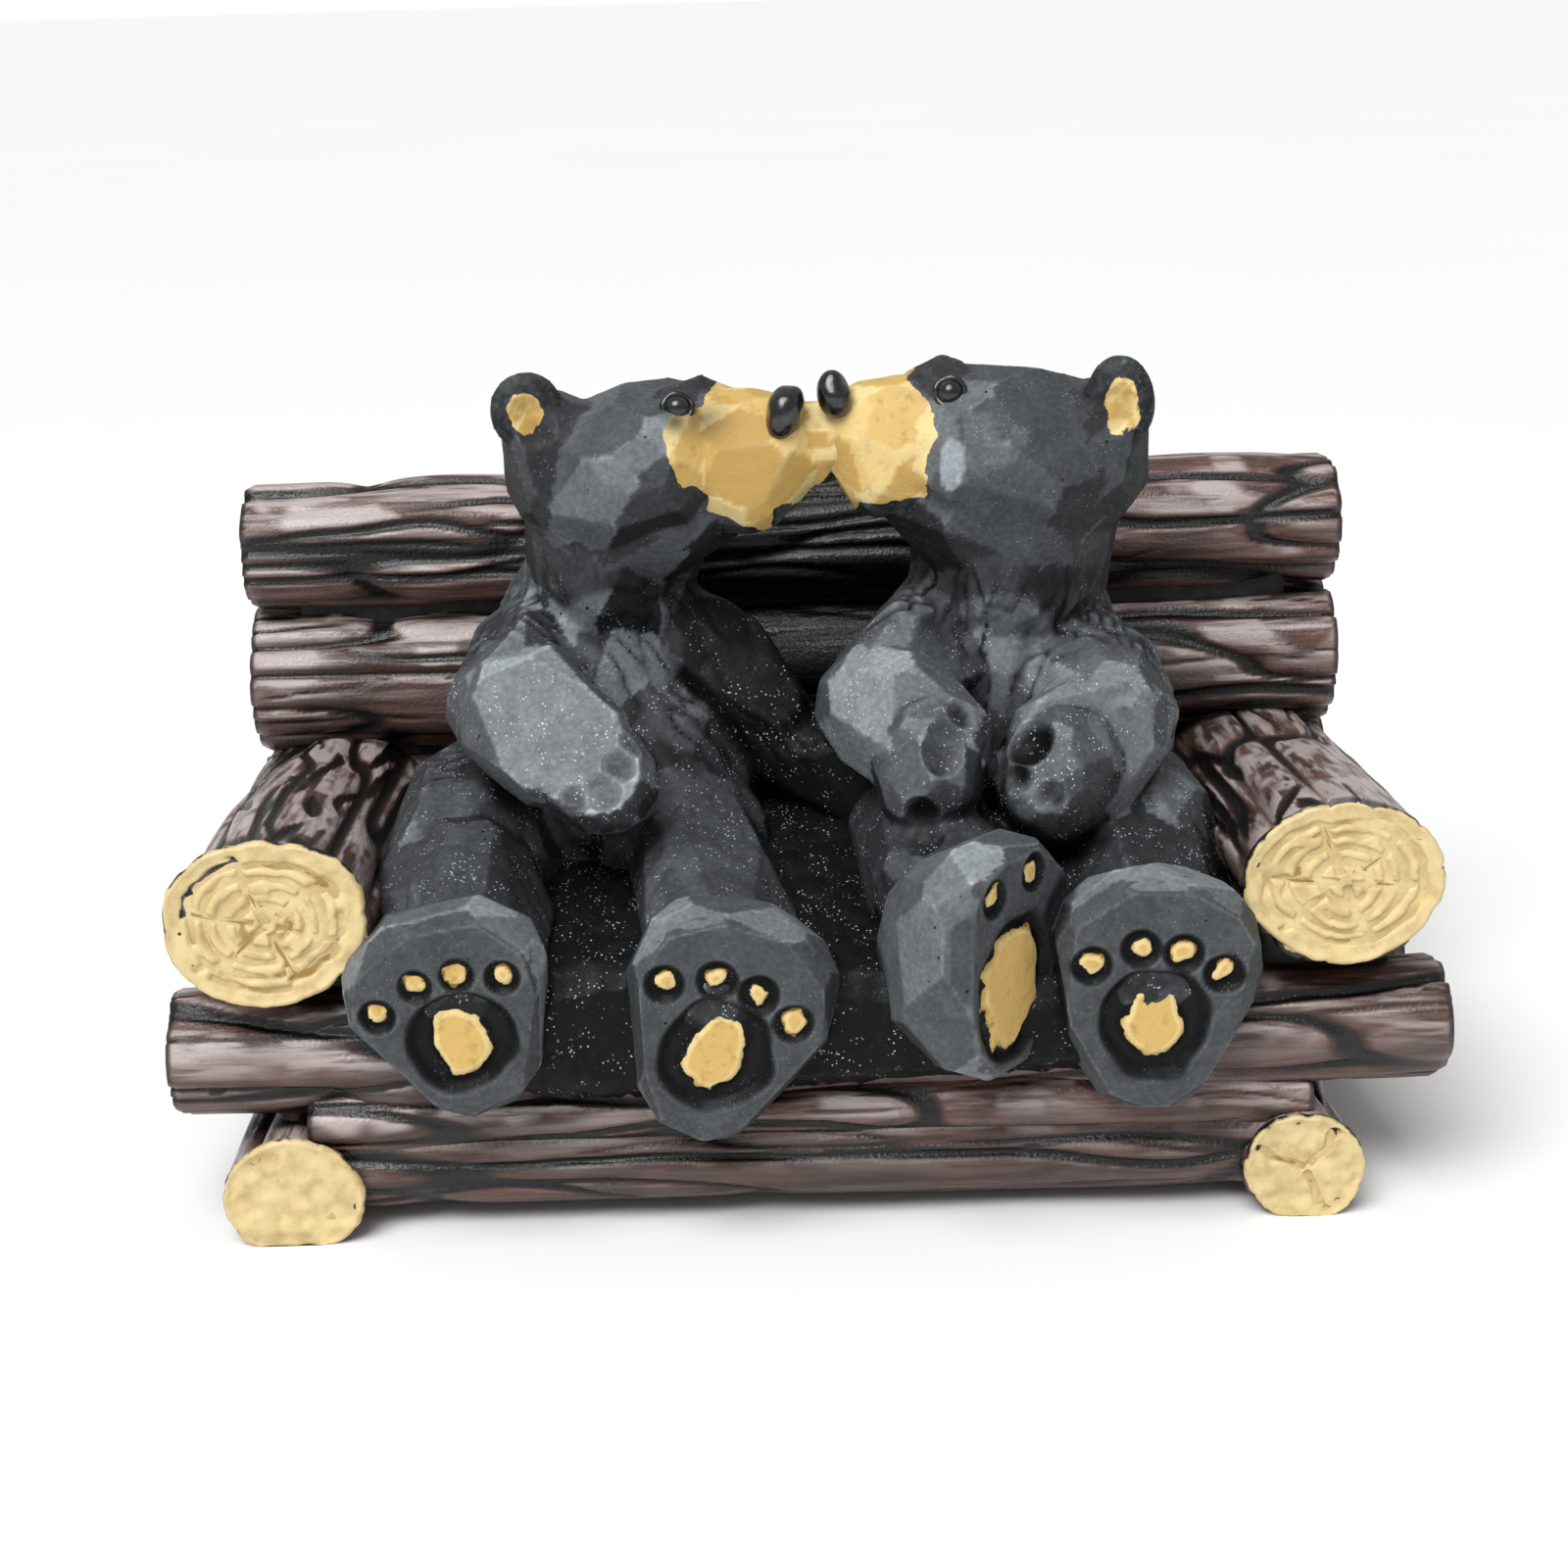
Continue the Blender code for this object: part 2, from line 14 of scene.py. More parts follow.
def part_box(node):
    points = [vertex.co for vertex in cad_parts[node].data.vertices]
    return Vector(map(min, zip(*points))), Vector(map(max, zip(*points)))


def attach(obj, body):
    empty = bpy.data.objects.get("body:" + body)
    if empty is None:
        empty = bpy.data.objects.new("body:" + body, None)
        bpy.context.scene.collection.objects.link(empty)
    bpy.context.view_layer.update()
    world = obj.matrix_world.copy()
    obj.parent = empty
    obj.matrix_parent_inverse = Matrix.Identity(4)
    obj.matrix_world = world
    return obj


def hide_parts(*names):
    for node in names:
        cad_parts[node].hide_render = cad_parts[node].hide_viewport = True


bl_info = {
    "name": "Bears on a Log Bench",
    "version": (1, 0, 0),
    "blender": (4, 5, 0),
    "location": "View3D > Sidebar > Bears",
    "description": "Models a painted resin figurine of two carved bears on a bench of logs",
    "category": "Add Mesh",
}

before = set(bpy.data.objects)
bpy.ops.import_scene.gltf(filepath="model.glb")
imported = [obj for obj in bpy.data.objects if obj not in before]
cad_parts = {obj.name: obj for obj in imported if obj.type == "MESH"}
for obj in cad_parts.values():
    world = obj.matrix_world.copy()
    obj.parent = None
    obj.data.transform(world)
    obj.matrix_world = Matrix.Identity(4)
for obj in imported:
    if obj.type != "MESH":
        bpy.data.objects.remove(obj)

MM = 0.001
CASTING = "kissing_bears_on_log_bench"
BODY = "root"
LOW, HIGH = (Vector(corner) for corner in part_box(CASTING))

# Sizes of the bench that the pieces share
RUNNER_HEIGHT = 13.2 * MM
RUNNER_ROUNDNESS = 1.3 * MM
RUNNER_INSET = 15 * MM
RUNNER_SHIFT = -1.6 * MM
RUNNER_LENGTH = 76 * MM
RUNNER_WIDTHS = {"left": 16.8 * MM, "right": 14.4 * MM}
LOWER_LOG_RADIUS = 6.1 * MM
FLOOR_CLEARANCE = 1.2 * MM
APRON_RADIUS = 5 * MM
APRON_OVERHANG = 6 * MM
APRON_STEP = 0.4 * MM
SEAT_LOG_RADIUS = 7.7 * MM
SEAT_LOG_COUNT = 5
SEAT_SETBACK = 0.5 * MM
SEAT_LOG_STAGGER = 3 * MM
ARM_WIDTH = 23.2 * MM
ARM_HEIGHT = 19.6 * MM
ARM_REAR_HEIGHT = 15.5 * MM
ARM_INSET = 13.5 * MM
ARM_SPLAY = 1.6 * MM
ARM_LIFT = 1.3 * MM
RIGHT_ARM_RAISE = 1.4 * MM
ARM_REAR_SINK = 0.8 * MM
BOTTOM_BACK_RADIUS = 6.7 * MM
MIDDLE_BACK_RADIUS = 10 * MM
TOP_BACK_RADIUS = 8.9 * MM
BACK_LEAN = 1.2 * MM
BACK_SHORTFALL = 3 * MM
LOG_BITE = 0.9 * MM
CORE_INSET = 6 * MM
SOLE_REACH = 5.2 * MM
TURNED_FOOT_REACH = 7.3 * MM

# Where the logs lie, worked out from their sizes. The front of the armrests is at FRONT.
BENCH_WIDTH = HIGH.x - LOW.x
RUNNER_SPACING = BENCH_WIDTH - 2 * RUNNER_INSET
ARM_SPACING = BENCH_WIDTH - 2 * ARM_INSET
LOWER_LOG_HEIGHT = FLOOR_CLEARANCE + LOWER_LOG_RADIUS
SEAT_HEIGHT = RUNNER_HEIGHT + SEAT_LOG_RADIUS
SEAT_TOP = SEAT_HEIGHT + SEAT_LOG_RADIUS
SEAT_PITCH = 2 * SEAT_LOG_RADIUS - LOG_BITE
FIRST_SEAT_DEPTH = SEAT_SETBACK + SEAT_LOG_RADIUS
BACK_DEPTH = FIRST_SEAT_DEPTH + (SEAT_LOG_COUNT - 1) * SEAT_PITCH + BACK_LEAN
BOTTOM_BACK_HEIGHT = SEAT_TOP + BOTTOM_BACK_RADIUS - LOG_BITE
MIDDLE_BACK_HEIGHT = BOTTOM_BACK_HEIGHT + BOTTOM_BACK_RADIUS + MIDDLE_BACK_RADIUS - LOG_BITE
TOP_BACK_HEIGHT = MIDDLE_BACK_HEIGHT + MIDDLE_BACK_RADIUS + TOP_BACK_RADIUS - LOG_BITE
BACKREST_FACE = BACK_DEPTH - MIDDLE_BACK_RADIUS
ARM_FRONT_CENTRE = SEAT_TOP + ARM_HEIGHT / 2 + ARM_LIFT
ARM_REAR_CENTRE = SEAT_TOP + ARM_REAR_HEIGHT / 2 - ARM_REAR_SINK
RUNNER_CENTRE = RUNNER_HEIGHT / 2 - RUNNER_ROUNDNESS / 2
FRONT = -(BACK_DEPTH + MIDDLE_BACK_RADIUS - SOLE_REACH - TURNED_FOOT_REACH) / 2

# The bears are drawn in hundredths of their own height above the seat, from the middle of the bench.
# Depth is drawn in hundredths of the seat's depth, from its front edge to the backrest.
# A form is the hull of its balls: x, depth, height and radius.
LEFT_BEAR = {
    "torso": [(-40, 72, 16, 23), (-39, 76, 41, 19.5), (-35, 72, 58, 15)],
    "neck": [(-33.5, 71, 59, 15), (-32, 66, 76, 15)],
    "skull": [(-35, 62, 78.5, 13.7), (-21, 63, 84.5, 11.5), (-25, 52, 82, 11.5)],
    "jaw": [(-31, 63, 72, 13.5), (-15, 58, 78, 9.5)],
    "brow": [(-14.5, 67, 88.5, 6), (-20, 57, 89.5, 6)],
    "muzzle": [(-13.5, 58, 84, 11), (-2, 56, 85.2, 9), (-8, 53, 77.2, 7.4)],
    "outer arm": [(-47.5, 65, 45, 12.5), (-50.5, 44, 42, 11)],
    "outer forearm": [(-49, 41, 41, 11.2), (-39.5, 29, 38, 10.8)],
    "outer paw": [(-38, 28, 36, 10.6), (-33.5, 25, 32.5, 9.4)],
    "inner arm": [(-22, 68, 50, 9), (-2, 62, 29, 8.5)],
    "inner forearm": [(-2, 62, 29, 8.5), (19, 50, 20, 8)],
    "outer thigh": [(-58, 66, 14, 17), (-62, 38, 10, 15)],
    "outer shin": [(-62, 38, 9, 15), (-58, 8, 4, 14)],
    "inner thigh": [(-30, 66, 16, 17), (-18, 46, 14, 13)],
    "inner shin": [(-18, 44, 12, 13), (-15, 8, 2, 14)],
    "throat": [(-31, 63, 69, 12.5), (-35, 71, 53, 14)],
    "ear root": [(-44, 56, 90, 6.8), (-37, 61, 79, 12)],
    "belly": [(-30, 64, 34, 12.5), (-20, 61, 20, 12)],
    "lips": [(0, 56, 85, 6.8), (9, 56, 86, 6.8)],
}
RIGHT_BEAR = {
    "torso": [(41, 72, 16, 23), (40.5, 76, 40, 19.5), (39, 72, 56, 16.5)],
    "neck": [(39, 71, 57, 17.5), (42, 64, 76, 16.5)],
    "skull": [(45, 63, 79.5, 16), (28.5, 63, 86, 12), (31, 53, 83, 11.8)],
    "jaw": [(41, 63, 70.5, 15), (23, 58, 78, 9.5)],
    "brow": [(25, 63, 91.5, 6.4), (27, 55, 91.5, 5.8)],
    "muzzle": [(20.5, 58, 85.5, 10.8), (13, 56, 87, 9), (15.5, 53, 79.5, 7.4)],
    "outer arm": [(50, 65, 41, 13.5), (55, 44, 36.5, 11.4)],
    "outer forearm": [(54.5, 42, 35.5, 11.4), (45, 29, 32, 10.8)],
    "outer paw": [(45, 29, 32, 10.8), (43, 26, 28.5, 10)],
    "inner arm": [(26, 65, 47, 12.5), (14, 46, 41, 10.3)],
    "inner forearm": [(13.5, 44, 40.5, 10.6), (22, 30, 36.5, 10.8)],
    "inner paw": [(22, 29, 36, 10.6), (22, 25, 31.5, 9.6)],
    "outer thigh": [(56, 66, 14, 17), (60, 38, 11, 15)],
    "outer shin": [(60, 38, 10, 15), (57, 8, 4, 14)],
    "inner thigh": [(32, 66, 17, 17), (22, 42, 16, 14)],
    "inner shin": [(22, 40, 15, 14), (26, 12, 12, 13)],
    "throat": [(40, 63, 67, 14), (40, 71, 52, 15.5)],
    "ear root": [(55, 55, 88.5, 7.2), (48, 62, 77, 13)],
}
BEARS = {"left": LEFT_BEAR, "right": RIGHT_BEAR}
# Broad knife cuts that show on the arms: a place on the cut, and the way that it faces
BROAD_CUTS = {
    "left outer forearm": [((-44.8, 27, 43.4), (-0.1, -0.82, 0.56))],
    "left outer paw": [((-44.8, 27, 43.4), (-0.1, -0.82, 0.56))],
    "right inner forearm": [((14.2, 25, 44.2), (-0.1, -0.76, 0.64))],
    "right outer forearm": [((54.6, 29, 37.5), (0.2, -0.84, 0.5))],
}
LAP = [(-58, 9, -5, 11), (58, 9, -5, 11), (-45, 66, 2, 13), (45, 66, 2, 13)]

# Ears: x, depth, height, width, height of the ear, and how far it is turned from facing the front
EARS = {
    "left": [(-45.5, 52, 92.8, 12.8, 13.8, 8), (-40, 76, 86, 11, 13, -20)],
    "right": [(56.6, 51, 91.6, 12.2, 16.6, -14), (50.5, 76, 86, 11, 13, 20)],
}
# Noses: x, depth, height, width, height of the nose, and tilt
NOSES = {"left": (-1.2, 48.4, 92, 6.6, 9.6, 24), "right": (7.4, 50, 94.6, 5.8, 8.4, -8)}
# Eyes: x, depth and height
EYES = {
    "left": [(-19.5, 49, 93), (-15.5, 71, 90)],
    "right": [(27.3, 49, 94.4), (23.5, 72, 92)],
}
# Soles, in shares of a sole's width and height: the pad, the hollow round it, and the toes, each with
# its place across, its height and its size
PLAIN_SOLE = (
    (0.135, 0.175), (0.29, 0.25),
    [(-0.33, 0.15, 0.066), (-0.1, 0.225, 0.066), (0.11, 0.21, 0.066), (0.31, 0.13, 0.066)],
)
TURNED_SOLE = ((0.24, 0.27), (0.34, 0.335), [(-0.24, 0.31, 0.066), (0.1, 0.37, 0.066)])
PAD_DROP = 0.09
# Feet: x, height, width, height of the sole, turn to the side, tilt in the sole's own plane, and sole
FEET = {
    "left_bear_outer_foot": (-58.4, 1.0, 34, 37, 0, -19, PLAIN_SOLE),
    "left_bear_inner_foot": (-14.6, -2.6, 35, 42, 0, 18, PLAIN_SOLE),
    "right_bear_inner_foot": (34, 8.5, 32, 41, 50, 6, TURNED_SOLE),
    "right_bear_outer_foot": (57, 1.2, 34, 42, 0, 3, PLAIN_SOLE),
}
# Scallops cut in the fronts of the paws: x, depth, height and radius
SCALLOPS = {
    "left": [
        (-27.8, 23, 40.7, 3.2), (-31, 21, 36.2, 3.3), (-34, 21, 31.2, 3.6), (-38.5, 18, 31, 3.2),
    ],
    "right": [
        (28.4, 23, 44.7, 3.1), (25, 20, 39.6, 4), (22.8, 19, 34.4, 3.6), (20.8, 20, 29.8, 3.3),
        (36.6, 24, 39, 2.8), (40, 23, 35.6, 3.7), (37.4, 22, 31.6, 3.2), (43.4, 21, 29.4, 3.2),
    ],
}

# Outline of the gold on each muzzle, seen from the photograph's place: x and height on the bear
MUZZLE_GOLD = {
    "left": [
        (-12, 100), (-15.5, 93), (-21, 90.5), (-22, 86), (-20.5, 81), (-19, 77), (-17.5, 78.5),
        (-15, 76.5), (-15, 74), (-11.5, 73), (-9, 71), (-4, 70.5), (-3.5, 74), (2, 76), (8, 82), (9, 100),
    ],
    "right": [
        (22, 100), (20, 97), (23.5, 92), (24.5, 86), (22.5, 80), (22.5, 75.5), (16, 74.5), (11.5, 75),
        (10.5, 73), (9.5, 75), (4, 80), (-3, 84), (-4, 100),
    ],
}
# A distance outside the gold that no paint reaches
NO_GOLD = -9.0
# How a lid faces: first the near eye's, then the far eye's
LID_FACINGS = {
    "left": [(0.12, -0.93, 0.35), (0, 0.9, 0.4)],
    "right": [(-0.12, -0.93, 0.35), (0, 0.9, 0.4)],
}
EAR_THICKNESS = 0.2
EAR_CUP = 0.9 * MM
SCALLOP_DEPTH = 0.85 * MM

# Knife cuts: the fewest on a form, how unevenly deep they go as a share of its radius, and the shortest
# edge that they leave. A finer knife went once more over some forms.
FEWEST_CUTS = 16
CUT_UNEVENNESS = 0.045
SHORTEST_EDGE = 0.12 * MM
FINE_CUT_FORMS = ("muzzle", "lips", "outer paw", "inner paw")
FINE_CUTS = 90
FINE_UNEVENNESS = 1.6 * CUT_UNEVENNESS
# Seeds of the knife cuts: a form's own is counted on from these
BEAR_SEEDS = {"left": 200, "right": 250}
FOOT_SEED = 100
LAP_SEED = 300
# Widths of the meshes' squares
BEAR_GRAIN = 0.52 * MM
FOOT_GRAIN = 0.4 * MM
LAP_GRAIN = 0.9 * MM

# How light the dry-brushed paint is on each form
TONES = {
    "torso": 0.13, "neck": 0.055, "skull": 0.085, "jaw": 0.075, "brow": 0.04, "muzzle": 0.06,
    "outer arm": 0.12, "outer forearm": 0.17, "outer paw": 0.09, "inner arm": 0.12,
    "inner forearm": 0.16, "inner paw": 0.09, "outer thigh": 0.10, "outer shin": 0.045,
    "inner thigh": 0.07, "inner shin": 0.05, "lap": 0.002, "foot": 0.16, "ear": 0.03,
    "throat": 0.06, "ear root": 0.04, "belly": 0.08, "lips": 0.03,
}
# How light the broad cuts on the arms are: dry brush, and a painted sheen where these flat facets catch the
# light
BROAD_TONES = {"left_bear": 0.2, "right_bear": 0.15}
# The left bear's far arm lies in black shadow
FAR_ARM_TONES = {"inner arm": 0.008, "inner forearm": 0.004}
# How light the soles are, and how the pads' gold takes the light, from 0 for thin to 1 for pale
SOLE_TONE = 0.075
PAD_SHADE = 0.42
# The way that the light and the dry brush come from: facets turned to it get more grey, partly dry brush and
# partly painted light
LIGHT_AND_BRUSH_FROM = Vector((-0.15, -0.62, 0.77)).normalized()
# Pale brushed places: x, depth, height, size and how pale
PALE_SPOTS = {
    "left": [
        (-27, 42, 87.5, 8, 0.05), (-32, 54, 50, 12, 0.1), (-44, 60, 54, 7, 0.12), (-55, 45, 16, 9, 0.09),
    ],
    "right": [(34.5, 43, 88, 6, 0.05), (37, 54, 52, 9, 0.1), (47, 46, 45, 7, 0.09)],
}
# Upright strokes of pale paint beside the gold: x, height, half width, half height, and how pale
CHEEK_BRUSH = {"left": [], "right": [(27, 82.6, 2.2, 5.4, 0.36), (31.8, 85.8, 3.2, 7.5, 0.13)]}
# Soft black over the gold: airbrushed paint beside the eyes, and painted shadow between the muzzles where
# they meet: x, depth, height and size
AIRBRUSH_AND_SHADOW = {
    "left": [(-15, 46, 92.5, 4.5), (-20, 46, 91, 3), (6.8, 51, 86, 1.6), (7, 51, 83, 1.8)],
    "right": [(21, 46, 97, 3), (8, 51, 86.5, 1.6), (8.4, 51, 83.5, 2)],
}

# The photograph's place: where the camera stands, from the front of the armrests, and how it is turned
CAMERA_PLACE = (-0.0035, -0.2568, 0.1381)
CAMERA_TILT = math.radians(18)
CAMERA_YAW = math.radians(0.3)
CAMERA_ROLL = math.radians(1.55)
SENSOR_WIDTH = 36
FOCAL_LENGTH = 56.25

# The studio's light: a softbox near the front left corner, daylight from above, and the sky
KEY_PLACE = (-0.3, -0.5, 0.7)
KEY_TARGET = (0, 0, 0.04)
KEY_SIZE = 0.4
KEY_POWER = 1.5
DAYLIGHT_STRENGTH = 2.35
DAYLIGHT_SPREAD = math.radians(42)
DAYLIGHT_TURN = (math.radians(32), 0, math.radians(-28))
SKY_LIGHT = 0.4
FLOOR_SIZE = 60

# Rays that feel how open a point is to the air
OPENNESS_RAYS = 14
# The sawn ends: how far they stand out from a log, how deep they are set, and how far over its edge
END_PROUD = 0.35 * MM
END_SET = 1.3 * MM
END_OVERLAP = 0.1 * MM
# Width of the rings and cracks in them
END_CUT_WIDTH = 0.62 * MM
# How far the logs' edges are rounded at their ends, and over what length
EDGE_DROP = 0.5 * MM
EDGE_LENGTH = 0.9 * MM
# The black on the fronts of the back logs between the bears: its middle, how far to each side it starts to
# fade and ends, and how far before the middle of the back logs it starts and is full
BLACK_BETWEEN_MIDDLE = -1.5 * MM
BLACK_BETWEEN_FADE = 15 * MM, 26 * MM
BLACK_BETWEEN_START = 22 * MM
BLACK_BETWEEN_FULL = 14 * MM


class BenchSizes(bpy.types.PropertyGroup):
    """Sizes of the log bench."""

    groove_depth: FloatProperty(
        name="Groove Depth", description="Depth of the long grooves in the bark",
        default=1.15 * MM, min=0.0, unit="LENGTH",
    )
    groove_spacing: FloatProperty(
        name="Groove Spacing", description="Distance from one long groove to the next, round the log",
        default=3.1 * MM, min=0.5 * MM, unit="LENGTH",
    )
    ring_depth: FloatProperty(
        name="Ring Depth", description="Depth of the rings and cracks carved in the log ends",
        default=0.85 * MM, min=0.0, unit="LENGTH",
    )
    rings: IntProperty(
        name="Rings", description="Number of rings carved in the end of an armrest", default=4, min=1,
    )


class BearSizes(bpy.types.PropertyGroup):
    """Sizes of the two bears."""

    height: FloatProperty(
        name="Height", description="Height of a bear above the seat", default=68 * MM, unit="LENGTH",
    )
    facet_width: FloatProperty(
        name="Facet Width", description="Usual width of one flat knife cut", default=7 * MM,
        min=3 * MM, unit="LENGTH",
    )
    eye_radius: FloatProperty(
        name="Eye Radius", description="Radius of an eye", default=1.5 * MM, unit="LENGTH",
    )
    pad_recess: FloatProperty(
        name="Pad Recess", description="How far the black pads lie below the sole",
        default=1.3 * MM, min=0.0, unit="LENGTH",
    )
    stroke_depth: FloatProperty(
        name="Fur Stroke Depth", description="Depth of the fur strokes cut on chest, lap and legs",
        default=0.4 * MM, min=0.0, unit="LENGTH",
    )


def paint(red, green, blue):
    """A colour given as it is seen on a screen, from 0 to 255, as the linear values that shaders take."""
    shares = [value / 255 for value in (red, green, blue)]
    return tuple(s / 12.92 if s <= 0.04045 else ((s + 0.055) / 1.055) ** 2.4 for s in shares)


def colour(name, description, default):
    return FloatVectorProperty(
        name=name, description=description, subtype="COLOR", default=default, min=0.0, max=1.0,
    )


class Colours(bpy.types.PropertyGroup):
    """Paint of the figurine."""

    black: colour("Black", "Black paint in the hollows", (0.003, 0.0032, 0.0036))
    silver: colour("Silver", "Grey brushed over the raised facets, before it is thinned", (0.86, 0.94, 1.0))
    gold: colour("Gold", "Gold paint on muzzles, ears and pads", paint(210, 174, 102))
    # Light gold stands in partly for painted highlights on gold facets and edges; gold shade for thin paint
    # and for painted shade in creases and on some facets.
    gold_light: colour("Light Gold", "Gold paint on the facets that catch the light", paint(230, 208, 150))
    gold_shade: colour("Gold Shade", "Gold paint where it is thin or lies in a hollow", paint(130, 100, 48))
    cream: colour("Cream", "Paint of the cut log ends", paint(222, 200, 146))
    cream_shade: colour("Cream Shade", "Wash in the carved rings and cracks", paint(160, 126, 66))
    bark_red: colour("Red Bark", "Red-brown paint of the bark", paint(108, 74, 64))
    bark_dark: colour("Dark Bark", "Dark brown wash over the bark", paint(46, 38, 36))
    # Light bark is partly dry brush and partly a painted highlight on ridges that face up.
    bark_light: colour("Light Bark", "Pale streaks brushed along the bark's ridges", paint(184, 172, 170))


def bear_share():
    """One hundredth of a bear's height, the unit that the bears are drawn in."""
    return bpy.context.scene.bear_sizes.height / 100


def on_bear(x, depth, height):
    """A drawn place on the bears, in metres."""
    share = bear_share()
    return Vector((x * share, FRONT + depth / 100 * BACKREST_FACE, SEAT_TOP + height * share))


# Points and noise

def points_of(mesh, kind="co"):
    flat = np.empty(len(mesh.vertices) * 3)
    mesh.vertices.foreach_get(kind, flat)
    return flat.reshape(-1, 3)


def normals_of(mesh):
    return points_of(mesh, "normal")


def set_points(mesh, points):
    mesh.vertices.foreach_set("co", points.ravel())
    mesh.update()


def push_out(mesh, distances):
    """Moves each vertex out along its normal."""
    set_points(mesh, points_of(mesh) + normals_of(mesh) * distances[:, None])


def store(mesh, name, values):
    """Keeps one number for each vertex under a name that the materials read."""
    attribute = mesh.attributes.new(name, "FLOAT", "POINT")
    attribute.data.foreach_set("value", np.full(len(mesh.vertices), values, np.float32))


def search_tree(mesh):
    corners = [vert.co.copy() for vert in mesh.vertices]
    return BVHTree.FromPolygons(corners, [tuple(face.vertices) for face in mesh.polygons])


def neighbours_mean(mesh, values):
    """The mean of each vertex's neighbours along its edges."""
    ends = np.empty(len(mesh.edges) * 2, np.int64)
    mesh.edges.foreach_get("vertices", ends)
    first, second = ends[0::2], ends[1::2]
    count = np.bincount(ends, minlength=len(values))
    columns = []
    for column in values.reshape(len(values), -1).T:
        total = np.bincount(first, weights=column[second], minlength=len(values))
        total += np.bincount(second, weights=column[first], minlength=len(values))
        columns.append(total / np.maximum(count, 1))
    return np.stack(columns, axis=1).reshape(values.shape)


def soft_noise(points, seed):
    """Smooth noise from 0 to 1, with about one bump to each unit of length."""
    table = np.random.default_rng(seed).random((32, 32, 32))
    cell = np.floor(points).astype(int)
    share = points - cell
    share = share * share * (3 - 2 * share)
    total = np.zeros(len(points))
    for corner in itertools.product((0, 1), repeat=3):
        index = (cell + corner) % 32
        weight = np.prod(np.where(corner, share, 1 - share), axis=1)
        total += weight * table[index[:, 0], index[:, 1], index[:, 2]]
    return total


def smooth_step(low, high, values):
    share = np.clip((values - low) / (high - low), 0, 1)
    return share * share * (3 - 2 * share)


def sphere_spiral(count, start=0.0):
    """Directions spread evenly over a sphere, along a spiral."""
    golden = math.pi * (3 - math.sqrt(5))
    for i in range(count):
        z = 1 - (2 * i + 1) / count
        across, turn = math.sqrt(1 - z * z), start + i * golden
        yield Vector((across * math.cos(turn), across * math.sin(turn), z))


def angle_from(line, turn):
    """The angle from a line to each turn, from minus half a turn to half a turn."""
    return (turn - line + math.pi) % math.tau - math.pi


def openness(points, normals, reach=16 * MM, clear=1.3 * MM):
    """How open each point is to the air, from 0 to 1, by rays cast against the solid casting."""
    tree = search_tree(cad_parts[CASTING].data)
    rays = list(sphere_spiral(OPENNESS_RAYS))
    result = np.empty(len(points))
    for i, (point, normal) in enumerate(zip(points, normals, strict=True)):
        normal = Vector(normal)
        start = Vector(point) + normal * clear
        total = weight = 0.0
        for ray in rays:
            facing = ray.dot(normal)
            if facing < 0.1:
                continue
            distance = tree.ray_cast(start, ray, reach)[3]
            total += facing * (1.0 if distance is None else distance / reach)
            weight += facing
        result[i] = total / weight if weight else 0.5
    return result


# Steps that every piece takes

def deselect():
    if bpy.context.mode != "OBJECT":
        bpy.ops.object.mode_set(mode="OBJECT")
    bpy.ops.object.select_all(action="DESELECT")


def make_active(obj):
    deselect()
    obj.select_set(True)
    bpy.context.view_layer.objects.active = obj


def finish_piece(obj, name, paint_name):
    """Names and paints the piece, settles its place in its mesh, and ties it to the casting."""
    make_active(obj)
    bpy.ops.object.transform_apply(location=True, rotation=True, scale=True)
    obj.name = obj.data.name = name
    obj.data.materials.clear()
    obj.data.materials.append(material_called(paint_name))
    bpy.ops.object.shade_smooth()
    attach(obj, BODY)
    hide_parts(CASTING)


def close_up(obj):
    """Merges doubles and turns every face outward."""
    make_active(obj)
    bpy.ops.object.mode_set(mode="EDIT")
    bpy.ops.mesh.select_all(action="SELECT")
    bpy.ops.mesh.remove_doubles(threshold=0.001 * MM)
    bpy.ops.mesh.normals_make_consistent(inside=False)
    bpy.ops.object.mode_set(mode="OBJECT")


# Logs

@dataclass
class Log:
    """A log from start to end, with its half width and half height at each."""

    name: str
    start: Vector
    end: Vector
    start_radii: tuple
    end_radii: tuple
    seed: int
    around: int = 112
    side_rows: int = 150
    start_rows: int = 14
    end_rows: int = 14
    grooves: float = 1.0
    folds: float = 1.5 * MM
    leaf_cuts: int = 0
    rings: int = 0
    cracks: int = 0
    flat_at: float = None


def bench_log(name, length, depth, height, radius, **more):
    """A log that lies across the bench."""
    middle = Vector((0, FRONT + depth, height))
    half = Vector((length / 2, 0, 0))
    radii = (radius, radius)
    return Log(name, middle - half, middle + half, radii, radii, **more)


